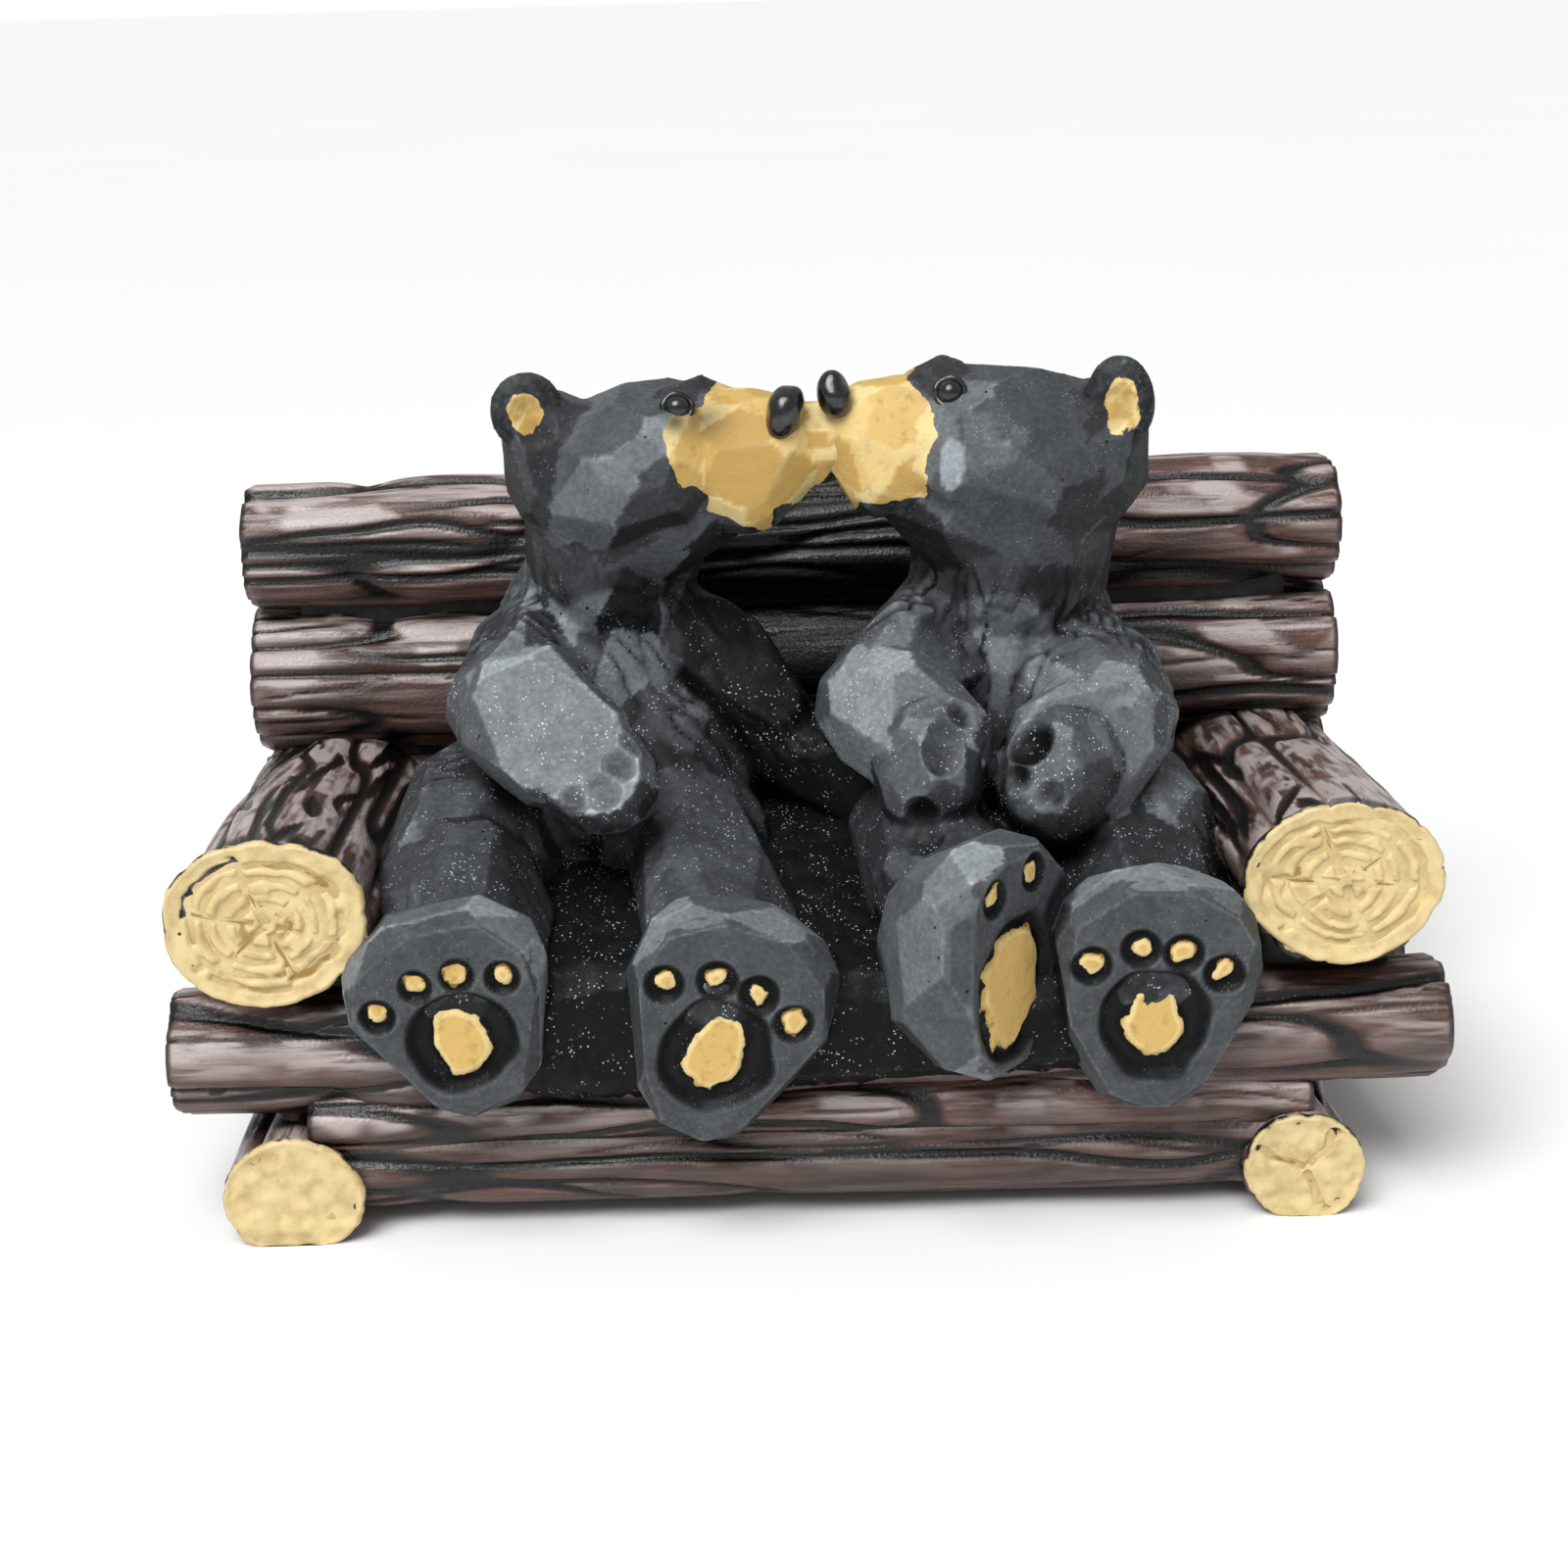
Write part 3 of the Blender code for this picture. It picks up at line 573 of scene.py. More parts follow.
def bark_relief(log, sizes, along, turn, radius):
    """Depth of the bark below the log's outline at each point, and how deep in a groove it lies, 0 to 1."""
    rng = np.random.default_rng(log.seed)
    length = (log.end - log.start).length
    ring = [np.cos(turn) * radius / MM, np.sin(turn) * radius / MM]
    lumps = soft_noise(np.stack([along / (26 * MM), ring[0] / 8, ring[1] / 8], 1), log.seed)
    fine = soft_noise(np.stack([along / (9 * MM), ring[0] / 0.9, ring[1] / 0.9], 1), log.seed + 1)
    folds = soft_noise(np.stack([along / (30 * MM), ring[0] / 4.6, ring[1] / 4.6], 1), log.seed + 3)
    valley = (1 - np.abs(2 * folds - 1)) ** 5
    depth = 1.3 * MM * (lumps - 0.45) + 0.2 * MM * fine + log.folds * valley
    groove = 0.6 * smooth_step(0.35, 1.0, valley) * (log.folds > 0)
    circumference = math.tau * radius
    kinds = [
        (round(circumference / sizes.groove_spacing), 1.0, (0.55, 1.1), (0.2, 0.5)),
        (round(2.2 * circumference / sizes.groove_spacing), 0.42, (0.3, 0.55), (0.06, 0.2)),
    ]
    for count, strength, widths, reaches in kinds:
        for _ in range(count):
            line = rng.uniform(0, math.tau)
            middle = rng.uniform(-0.05, 1.05) * length
            reach = rng.uniform(*reaches) * max(length, 60 * MM)
            width = rng.uniform(*widths) * MM
            pace = rng.uniform(11, 24) * MM
            place = np.stack([along / pace, np.full(len(along), line * 7), np.zeros(len(along))], 1)
            wander = (soft_noise(place, log.seed + 2) - 0.5) * 5.2 * MM / radius
            away = angle_from(line + wander, turn)
            taper = 1 - smooth_step(0.55, 1.0, np.abs(along - middle) / reach)
            cut = np.clip(1 - np.abs(away) * radius / (width * (0.35 + 0.65 * taper)), 0, 1) ** 0.8
            groove = np.maximum(groove, cut * taper * strength * rng.uniform(0.65, 1.0))
    for _ in range(log.leaf_cuts):
        line = rng.uniform(0.05, 0.95) * math.pi
        middle = rng.uniform(0.02, 0.5) * length
        lean = rng.uniform(-0.5, 0.5)
        reach = rng.uniform(3.0, 6.5) * MM
        away = angle_from(line, turn) * radius - lean * (along - middle)
        share = np.clip(1 - ((along - middle) / reach) ** 2, 0, 1)
        cut = np.clip(1 - np.abs(away) / (1.5 * MM * share + 1e-9), 0, 1)
        groove = np.maximum(groove, 0.75 * cut * np.sqrt(share))
    return depth + log.grooves * sizes.groove_depth * np.maximum(groove - 0.6 * valley, 0), groove


def end_relief(log, sizes, spread, turn, radius):
    """Depth of the rings and cracks on the sawn start of a log, and how deep in a cut each point lies."""
    rng = np.random.default_rng(log.seed + 5)
    plane = np.stack([np.cos(turn) * spread * 2.2, np.sin(turn) * spread * 2.2, np.zeros(len(turn))], 1)
    wobble = (soft_noise(plane, log.seed + 6) - 0.5) * 0.1
    cut = np.zeros(len(turn))
    line = END_CUT_WIDTH / radius
    start = rng.uniform(0, math.tau)
    wedge = np.floor((turn - start) % math.tau / math.tau * log.cracks).astype(int)
    shift = rng.uniform(-0.045, 0.045, max(log.cracks, 1))[np.clip(wedge, 0, None)]
    for ring in range(log.rings):
        place = 0.2 + 0.7 * (ring + 0.5) / log.rings + shift
        broken = smooth_step(0.1, 0.25, soft_noise(plane * 1.7 + 9 * ring, log.seed + 7))
        cut = np.maximum(cut, np.clip(1 - np.abs(spread - place + wobble) / line, 0, 1) * broken)
    for crack in range(log.cracks):
        ray = start + (crack + rng.uniform(-0.1, 0.1)) * math.tau / log.cracks
        bend = (soft_noise(plane * 1.3 + 3 * crack, log.seed + 8) - 0.5) * 0.3
        away = angle_from(ray + bend, turn)
        across = np.abs(np.sin(away)) * spread * radius
        inner, outer = rng.uniform(0.0, 0.2), rng.uniform(0.7, 1.05)
        near = (np.abs(away) < 1) * (spread > inner) * (spread < outer)
        cut = np.maximum(cut, near * np.clip(1 - across / END_CUT_WIDTH, 0, 1))
    lumps = soft_noise(plane * 2.4, log.seed + 9)
    return sizes.ring_depth * cut**0.7 + 0.5 * MM * lumps, cut


def roll_up(log):
    """A flat grid rolled into the log's skin, with its first and last rows drawn in to close the ends."""
    sizes = bpy.context.scene.bench_sizes
    rows = log.start_rows + log.side_rows + log.end_rows
    deselect()
    bpy.ops.mesh.primitive_grid_add(x_subdivisions=rows, y_subdivisions=log.around, size=2)
    obj = bpy.context.object
    flat = points_of(obj.data)
    row = np.rint((flat[:, 0] + 1) / 2 * rows)
    turn = (flat[:, 1] + 1) / 2 * math.tau
    spread = np.minimum(np.clip(row / log.start_rows, 0, 1), np.clip((rows - row) / log.end_rows, 0, 1))
    share = np.clip((row - log.start_rows) / log.side_rows, 0, 1)
    length = (log.end - log.start).length
    along = share * length
    radius = sum(log.start_radii + log.end_radii) / 4
    depth, groove = bark_relief(log, sizes, along, turn, radius)
    from_end = np.minimum(along, length - along)
    depth += EDGE_DROP * np.clip(1 - from_end / EDGE_LENGTH, 0, 1) ** 2
    at_start = (row < log.start_rows).astype(float)
    at_end = (row > rows - log.end_rows).astype(float)
    sunk, cut = end_relief(log, sizes, spread, turn, radius)
    sunk *= 1 - smooth_step(0.9, 1.0, spread) * 0.6
    axis = (log.end - log.start).normalized()
    wide = axis.cross(Vector((0, 0, 1))).normalized()
    high = wide.cross(axis)
    half_width = log.start_radii[0] + (log.end_radii[0] - log.start_radii[0]) * share - depth
    half_height = log.start_radii[1] + (log.end_radii[1] - log.start_radii[1]) * share - depth
    inward = along + sunk * at_start - sunk * at_end
    points = np.array(log.start) + np.outer(inward, axis)
    points += np.outer(spread * half_width * np.cos(turn), wide)
    points += np.outer(spread * half_height * np.sin(turn), high)
    if log.flat_at is not None:
        points[:, 2] = np.maximum(points[:, 2], log.flat_at)
    on_cap = np.maximum(at_start, at_end)
    rim = np.where(on_cap > 0, (1 - spread) * radius, -from_end) / MM
    set_points(obj.data, points)
    store(obj.data, "groove", groove * (1 - on_cap))
    store(obj.data, "cut", cut * on_cap)
    store(obj.data, "rim", rim)
    close_up(obj)
    return obj


def add_log(log, paint_name):
    obj = roll_up(log)
    points, normals = points_of(obj.data), normals_of(obj.data)
    open_air = openness(points, normals)
    # The fronts of the back logs between the bears are made black.
    between = 1 - smooth_step(*BLACK_BETWEEN_FADE, np.abs(points[:, 0] - BLACK_BETWEEN_MIDDLE))
    behind = smooth_step(-BLACK_BETWEEN_START, -BLACK_BETWEEN_FULL, points[:, 1] - FRONT - BACK_DEPTH)
    facing = smooth_step(0.2, -0.2, normals[:, 1])
    store(obj.data, "black_between_bears", np.clip(between * behind * facing, 0, 1))
    store(obj.data, "open", open_air)
    # How far each face turns up to the light; the bark paint uses it for painted highlights.
    store(obj.data, "lit", np.clip(normals @ np.array((0.0, -0.35, 0.93)), 0, 1))
    finish_piece(obj, log.name, paint_name)


def add_log_end(log, name, rings, cracks):
    """The sawn face of a log's start: a thin disc, set into the log, with rings and cracks carved in it."""
    axis = (log.end - log.start).normalized()
    radii = tuple(radius + END_OVERLAP for radius in log.start_radii)
    disc = Log(
        name, log.start - axis * END_PROUD, log.start + axis * END_SET, radii, radii, log.seed + 90,
        around=150, side_rows=5, start_rows=54, end_rows=4, grooves=0.0, folds=0.35 * MM,
        rings=rings, cracks=cracks, flat_at=log.flat_at,
    )
    add_log(disc, "cream_log_end")


def armrest(side):
    sign = -1 if side == "left" else 1
    raised = RIGHT_ARM_RAISE if side == "right" else 0.0
    front = Vector((sign * ARM_SPACING / 2, FRONT, ARM_FRONT_CENTRE + raised))
    rear_x = sign * (ARM_SPACING / 2 + ARM_SPLAY)
    rear = Vector((rear_x, FRONT + BACK_DEPTH + CORE_INSET / 3, ARM_REAR_CENTRE))
    radii = (ARM_WIDTH / 2, ARM_HEIGHT / 2), (ARM_WIDTH / 2, ARM_REAR_HEIGHT / 2)
    return Log(f"{side}_armrest", front, rear, *radii, 50 + sign, around=124, side_rows=104,
               grooves=0.6, leaf_cuts=6, folds=1.1 * MM)


def runner(side):
    sign = -1 if side == "left" else 1
    x = sign * RUNNER_SPACING / 2 + RUNNER_SHIFT
    radii = (RUNNER_WIDTHS[side] / 2, RUNNER_HEIGHT / 2 + RUNNER_ROUNDNESS / 2)
    front = Vector((x, FRONT - SEAT_SETBACK, RUNNER_CENTRE))
    rear = front + Vector((0, RUNNER_LENGTH, 0))
    return Log(f"{side}_runner", front, rear, radii, radii, 40 + sign, side_rows=110, flat_at=0.0)


# Knife cuts

def even_directions(count, rng):
    """Directions spread evenly over a sphere, and each shaken a little, as a knife is."""
    shake = 0.8 / math.sqrt(count)
    for direction in sphere_spiral(count, rng.uniform(0, math.tau)):
        yield (direction + Vector([rng.uniform(-shake, shake) for _ in range(3)])).normalized()


def slice_off(point, direction):
    """Cuts the block in edit mode with a flat cut, and closes it."""
    bpy.ops.mesh.select_all(action="SELECT")
    bpy.ops.mesh.bisect(
        plane_co=point, plane_no=direction, use_fill=True, clear_outer=True, threshold=1e-7,
    )


def whittle(name, balls, seed, flats=()):
    """A block cut down by flat cuts that touch the hull of the balls. A ball is a centre and a radius."""
    rng = random.Random(seed)
    middle = sum((centre for centre, _ in balls), Vector()) / len(balls)
    largest = max(radius for _, radius in balls)
    length = max((a - b).length for a, _ in balls for b, _ in balls)
    area = 4 * math.pi * largest**2 + 2 * math.pi * largest * length

    def cut_all_round(count, unevenness):
        for direction in even_directions(count, rng):
            reach = max(direction.dot(centre) + radius for centre, radius in balls)
            reach -= rng.uniform(0, unevenness) * largest
            slice_off(direction * reach, direction)

    deselect()
    bpy.ops.mesh.primitive_cube_add(size=2 * length + 4 * largest, location=middle)
    bpy.ops.object.mode_set(mode="EDIT")
    facet = bpy.context.scene.bear_sizes.facet_width
    cut_all_round(FEWEST_CUTS + round(area / facet**2), CUT_UNEVENNESS)
    for point, direction in flats:
        slice_off(point, direction)
    if name in FINE_CUT_FORMS:
        cut_all_round(FINE_CUTS, FINE_UNEVENNESS)
    bpy.ops.mesh.select_all(action="SELECT")
    bpy.ops.mesh.remove_doubles(threshold=SHORTEST_EDGE)
    bpy.ops.object.mode_set(mode="OBJECT")
    bpy.ops.object.transform_apply(location=True, rotation=True, scale=True)
    obj = bpy.context.object
    obj.name = name
    return obj


def flattened_ball(centre, radii, turn=0.0, tilt=0.0):
    """A ball squashed to three radii, tilted in the XZ plane, then turned about Z."""
    deselect()
    bpy.ops.mesh.primitive_ico_sphere_add(subdivisions=4, radius=1)
    obj = bpy.context.object
    place = Matrix.Translation(centre) @ Matrix.Rotation(turn, 4, "Z") @ Matrix.Rotation(tilt, 4, "Y")
    obj.data.transform(place @ Matrix.Diagonal((*radii, 1)))
    return obj


def join_forms(forms):
    """Joins whittled forms into one object. Each face keeps the form that it came from."""
    deselect()
    for number, obj in enumerate(forms):
        attribute = obj.data.attributes.new("form", "INT", "FACE")
        attribute.data.foreach_set("value", [number] * len(obj.data.polygons))
        obj.select_set(True)
    bpy.context.view_layer.objects.active = forms[0]
    bpy.ops.object.join()
    return forms[0]


def facets_of(mesh):
    """A search tree over the knife cuts, with the form and normal of each."""
    numbers = np.empty(len(mesh.polygons), np.int32)
    mesh.attributes["form"].data.foreach_get("value", numbers)
    normals = np.array([face.normal for face in mesh.polygons])
    return search_tree(mesh), numbers, normals


def fuse(obj, grain, blend_steps):
    """One skin over the joined forms, with the creases where they meet filled a little."""
    modifier = obj.modifiers.new("Fuse", "REMESH")
    modifier.mode = "VOXEL"
    modifier.voxel_size = grain
    modifier.adaptivity = 0
    make_active(obj)
    bpy.ops.object.modifier_apply(modifier=modifier.name)
    for _ in range(blend_steps):
        points, normals = points_of(obj.data), normals_of(obj.data)
        pull = neighbours_mean(obj.data, points) - points
        rise = np.sum(pull * normals, axis=1)
        filled = np.where(rise > 0, 0.9, 0.02)[:, None]
        set_points(obj.data, points + pull * filled)


def bulge(mesh, grain):
    """How far each vertex stands out from its neighbours: above 0 on edges and below 0 in creases."""
    points, normals = points_of(mesh), normals_of(mesh)
    out = np.sum((points - neighbours_mean(mesh, points)) * normals, axis=1) / grain
    return 0.5 * out + 0.5 * neighbours_mean(mesh, out)


def brush_and_light_tones(mesh, facets, tones, seed, broad=(), broad_tone=0.0):
    """How light the dry brush and the painted light leave each vertex, and a chance number that its whole
    facet shares.
    """
    tree, numbers, facet_normals = facets
    shades = np.random.default_rng(seed).random(len(facet_normals))
    facing = facet_normals @ np.array(LIGHT_AND_BRUSH_FROM)
    lightness = np.array([tones[number] for number in numbers])
    # Painted light: facets turned to the light from above and in front are made lighter, over the dry brush.
    lightness = lightness * (0.22 + 1.2 * shades**2 + 0.8 * np.clip(facing, 0, 1) ** 2)
    # The broad cuts take one lightness: dry brush and painted sheen.
    for _, direction in broad:
        lightness[facet_normals @ np.array(direction) > 0.9995] = broad_tone
    nearest = [tree.find_nearest(Vector(point))[2] for point in points_of(mesh)]
    return lightness[nearest], shades[nearest]


def fur_strokes(points, direction, across, along, seed):
    """Strokes from 0 to 1 that run along a direction."""
    direction = np.array(direction) / np.linalg.norm(direction)
    side = np.cross(direction, (0.0, 1.0, 0.0))
    side /= np.linalg.norm(side)
    out = np.cross(side, direction)
    drift = (soft_noise(points / (7 * MM), seed + 1) - 0.5) * 2.4
    place = np.stack([points @ direction / along, points @ side / across + drift, points @ out / across], 1)
    return (1 - np.abs(2 * soft_noise(place, seed) - 1)) ** 2


# Pieces of the bears

def forms_of(side):
    """The drawn forms of a bear, each with the seed of its knife cuts."""
    return {part: (balls, BEAR_SEEDS[side] + i) for i, (part, balls) in enumerate(BEARS[side].items())}


def drawn_balls(drawn):
    return [(on_bear(x, y, z), radius * bear_share()) for x, y, z, radius in drawn]


def broad_cuts(name, part):
    cuts = BROAD_CUTS.get(f"{name.split('_')[0]} {part}", ())
    return [(on_bear(*place), Vector(direction).normalized()) for place, direction in cuts]


def add_fur(name, drawn, grain, blend_steps, ears=()):
    """Whittles the drawn forms, fuses them, and brushes them. Returns the object and its tones."""
    forms = [
        whittle(part, drawn_balls(balls), seed, broad_cuts(name, part))
        for part, (balls, seed) in drawn.items()
    ]
    far_arm = FAR_ARM_TONES if name == "left_bear" else {}
    tones = [far_arm.get(part, TONES[part]) for part in drawn] + [TONES["ear"]] * len(ears)
    obj = join_forms([*forms, *ears])
    facets = facets_of(obj.data)
    fuse(obj, grain, blend_steps)
    broad = [cut for part in drawn for cut in broad_cuts(name, part)]
    return obj, *brush_and_light_tones(obj.data, facets, tones, len(tones), broad, BROAD_TONES.get(name, 0.0))


def save_fur(obj, name, grain, **painted):
    """Stores what the fur paint reads, and finishes the piece."""
    mesh = obj.data
    open_air = openness(points_of(mesh), normals_of(mesh))
    for _ in range(3):
        open_air = neighbours_mean(mesh, open_air)
    painted.update(edge=bulge(mesh, grain), open=open_air)
    for kind, values in painted.items():
        store(mesh, kind, values)
    finish_piece(obj, name, "dry_brushed_black")


def roughen(mesh, seed, amount):
    """Slight waves of the hand-cut surface."""
    points = points_of(mesh)
    broad = soft_noise(points / (4.5 * MM), seed) - 0.5
    fine = soft_noise(points / (1.3 * MM), seed + 1) - 0.5
    push_out(mesh, amount * (broad + 0.35 * fine))


def press(points, centre, radius):
    """Pushes the points that lie in a ball out to its surface."""
    away = points - np.array(centre)
    distance = np.linalg.norm(away, axis=1)
    inside = distance < radius
    points[inside] = np.array(centre) + away[inside] / distance[inside, None] * radius
    return points


def scallop(mesh, places):
    """Cuts shallow scallops in the front of a paw, each where its place meets the surface. Returns where,
    most in each scallop's upper part, which is painted darker: black wash and painted shadow under its top
    edge.
    """
    depth = SCALLOP_DEPTH
    inside = np.zeros(len(mesh.vertices))
    for x, y, z, width in places:
        points, normals = points_of(mesh), normals_of(mesh)
        near = np.linalg.norm(points - np.array(on_bear(x, y, z)), axis=1) - 2 * MM * (normals[:, 1] < -0.3)
        nearest = int(np.argmin(near))
        outward = normals[nearest] + np.array((0, -0.7, 0.35))
        outward /= np.linalg.norm(outward)
        half = width * bear_share()
        ball = (half * half + depth * depth) / (2 * depth)
        pressed = press(points, points[nearest] + outward * (ball - depth), ball)
        sunk = np.linalg.norm(pressed - points, axis=1)
        upper = 0.5 + 0.5 * np.clip((points[:, 2] - points[nearest, 2]) / half + 0.6, -1, 1)
        inside = np.maximum(inside, smooth_step(0.05, 0.4, sunk / depth) * upper)
        set_points(mesh, pressed)
    return inside


def ear_ball(x, y, z, width, height, turn):
    radii = (width / 2 * bear_share(), EAR_THICKNESS * height * bear_share(), height / 2 * bear_share())
    return flattened_ball(on_bear(x, y, z), radii, math.radians(turn))


def cup_ears(mesh, side):
    """Presses a shallow cup in the front of each ear."""
    points = points_of(mesh)
    for x, y, z, _, height, turn in EARS[side]:
        thick = EAR_THICKNESS * height * bear_share()
        ball = 0.62 * height * bear_share()
        ahead = Matrix.Rotation(math.radians(turn), 3, "Z") @ Vector((0, -1, 0))
        points = press(points, on_bear(x, y, z) + ahead * (thick + ball - EAR_CUP), ball)
    set_points(mesh, points)


def strokes_on(side, points):
    """Fur strokes from 0 to 1 on the chest and legs. Arms and heads have none."""
    lean = (0.62, 0.0, -0.78) if side == "left" else (-0.25, 0.0, -0.97)
    chest = fur_strokes(points, lean, 1.7 * MM, 10 * MM, BEAR_SEEDS[side] + 5)
    legs = 0.45 * fur_strokes(points, (0.1, -0.6, -0.8), 2.1 * MM, 8 * MM, BEAR_SEEDS[side] + 6)
    height, depth = shares_up_and_back(points)
    on_legs = 1 - smooth_step(0.2, 0.32, height)
    on_arms = smooth_step(0.18, 0.3, height) * (1 - smooth_step(0.4, 0.5, depth))
    on_head = smooth_step(0.6, 0.68, height)
    return legs * on_legs + chest * (1 - on_legs) * (1 - on_arms) * (1 - on_head)


def shares_up_and_back(points):
    """How high and how far back each point lies, as shares of a bear's height and of the seat's depth."""
    height = (points[:, 2] - SEAT_TOP) / bpy.context.scene.bear_sizes.height
    return height, (points[:, 1] - FRONT) / BACKREST_FACE


def ball_share(points, place, size):
    """Distance of each point from a drawn place, as a share of a size."""
    return np.linalg.norm(points - np.array(on_bear(*place)), axis=1) / (size * bear_share())


def oval_share(points, centre, half_width, half_height):
    """Distance of each point from the middle of an upright oval, seen from the front: 1 on the oval."""
    across = (points[:, 0] - centre.x) / (half_width * bear_share())
    up = (points[:, 2] - centre.z) / (half_height * bear_share())
    return np.hypot(across, up)


def brush_head(side, points, tone, facet):
    """The tones with the pale places brushed over them."""
    for *place, size, light in PALE_SPOTS[side]:
        near = 1 - smooth_step(0.9, 1.05, ball_share(points, place, size))
        tone = tone + light * near * smooth_step(0.35, 0.4, facet)
    ragged = 0.7 * (soft_noise(points / (2.4 * MM), BEAR_SEEDS[side] + 9) - 0.5)
    for x, z, half_width, half_height, light in CHEEK_BRUSH[side]:
        away = oval_share(points, on_bear(x, 0, z), half_width, half_height)
        inside = 1 - smooth_step(0.85, 1.05, away + ragged)
        tone = np.where(shares_up_and_back(points)[1] < 0.66, np.maximum(tone, light * inside), tone)
    return tone


def outline_distance(across, up, outline):
    """Signed distance from an outline: above 0 inside it."""
    nearest = np.full(len(across), 1e9)
    inside = np.zeros(len(across), bool)
    for (x0, y0), (x1, y1) in zip(outline, outline[1:] + outline[:1], strict=True):
        dx, dy = x1 - x0, y1 - y0
        share = np.clip(((across - x0) * dx + (up - y0) * dy) / (dx * dx + dy * dy), 0, 1)
        nearest = np.minimum(nearest, np.hypot(across - x0 - share * dx, up - y0 - share * dy))
        crosses = (y0 > up) != (y1 > up)
        slope = dx / dy if dy else 0.0
        inside ^= crosses & (across < x0 + (up - y0) * slope)
    return np.where(inside, nearest, -nearest)


def gold_on(side, points):
    """Signed distance from the gold of muzzle and ears in about millimetres: above 0 inside it.

    The muzzle's outline is drawn as the photograph's view sees it, so points are raised by how far back
    they lie.
    """
    raised = (points[:, 1] - on_bear(0, 52, 0).y) * math.tan(CAMERA_TILT)
    up = (points[:, 2] - SEAT_TOP + raised) / bear_share()
    gold = outline_distance(points[:, 0] / bear_share(), up, MUZZLE_GOLD[side]) * bear_share() / MM
    for x, y, z, width, height, _ in EARS[side]:
        centre = on_bear(x, y, z)
        front = (points[:, 1] < centre.y) & (np.abs(points[:, 1] - centre.y) < 3 * MM)
        inside = (1 - oval_share(points, centre, 0.23 * width, 0.3 * height)) * 1.6
        gold = np.maximum(gold, np.where(front, inside, NO_GOLD))
    return gold


def add_bear(side):
    ears = [ear_ball(*ear) for ear in EARS[side]]
    obj, tone, facet = add_fur(f"{side}_bear", forms_of(side), BEAR_GRAIN, 8, ears)
    mesh = obj.data
    roughen(mesh, BEAR_SEEDS[side], 0.18 * MM)
    cup_ears(mesh, side)
    # The upper part of each scallop is painted darker: black wash and painted shadow.
    tone = tone * (1 - 0.8 * scallop(mesh, SCALLOPS[side]))
    points = points_of(mesh)
    strokes = strokes_on(side, points)
    push_out(mesh, -bpy.context.scene.bear_sizes.stroke_depth * strokes)
    tone = brush_head(side, points, tone * (1 - 0.75 * strokes), facet)
    # Airbrushed black beside the eyes, and painted shadow between the muzzles.
    smoke = np.zeros(len(points))
    for *place, size in AIRBRUSH_AND_SHADOW[side]:
        smoke = np.maximum(smoke, np.exp(-(ball_share(points, place, size) ** 2)))
    specks = 1 - 0.75 * smooth_step(0.45, 0.62, shares_up_and_back(points)[0])
    save_fur(
        obj, f"{side}_bear", BEAR_GRAIN,
        tone=tone, facet=facet, gold=gold_on(side, points), smoke=smoke, specks=specks,
    )


def sole_place(foot):
    """Where the middle of a sole lies, turned to its side, and then also leaned in its own plane."""
    x, height, _, _, turn, tilt, _ = foot
    centre = on_bear(x, 0, height)
    centre.y = FRONT - SOLE_REACH
    turned = Matrix.Translation(centre) @ Matrix.Rotation(math.radians(turn), 4, "Z")
    return turned, turned @ Matrix.Rotation(math.radians(tilt), 4, "Y")


def foot_balls(place, width, height):
    """The balls that a foot is whittled round: two at the corners of the toes, and three down its middle."""
    toe, heel = 0.33 * width, 0.36 * width
    balls = [
        (-0.5 * width + toe, 0.62 * toe, 0.5 * height - 1.12 * toe, toe),
        (0.5 * width - toe, 0.62 * toe, 0.5 * height - 1.12 * toe, toe),
        (0, 0.55 * toe, 0.5 * height - toe, toe),
        (0, 0.62 * heel, -0.5 * height + heel, heel),
        (0, 0.34 * height, 0.02 * height, heel),
    ]
    return [(place @ Vector(centre), radius) for *centre, radius in balls]


def carve_sole(sole, across, up, width, height, number):
    """Depth of the hollows, distance inside the gold and share of black at each point of a sole."""
    recess = bpy.context.scene.bear_sizes.pad_recess
    pad, pit, toes = sole
    flat = np.stack([across, up, np.zeros(len(up))], 1)
    wobble = (soft_noise(flat / (3.2 * MM), number) - 0.5) * 0.3
    ragged = (soft_noise(flat / (1.5 * MM), number + 9) - 0.5) * 0.45
    pad_up = up + PAD_DROP * height
    hollow = np.hypot(across / (pit[0] * width), pad_up / (pit[1] * height)) + wobble * 0.5
    island = np.hypot(across / (pad[0] * width), pad_up / (pad[1] * height)) + wobble + ragged * 0.5
    depth = recess * (1 - smooth_step(0.78, 1.0, hollow))
    depth -= 0.6 * recess * (1 - smooth_step(0.85, 1.15, island))
    gold = (1 - island) * pad[0] * width / MM
    black = 1 - smooth_step(0.9, 1.08, hollow)
    for toe_across, toe_up, size in toes:
        radius = size * height
        aside, above = across - toe_across * width, up - toe_up * height
        reach = np.hypot(aside, above) / radius + wobble * 0.6
        stub = np.hypot(aside, above - 0.1 * radius) / radius + ragged * 1.3
        depth = np.maximum(depth, 0.9 * MM * (1 - smooth_step(0.8, 1.3, reach)))
        depth -= 0.55 * MM * (1 - smooth_step(0.55, 0.8, stub))
        gold = np.maximum(gold, (0.68 - stub) * radius / MM)
        black = np.maximum(black, 1 - smooth_step(1.2, 1.45, reach))
    return depth, gold, (SOLE_TONE + 0.02 * wobble) * (1 - 0.93 * black)


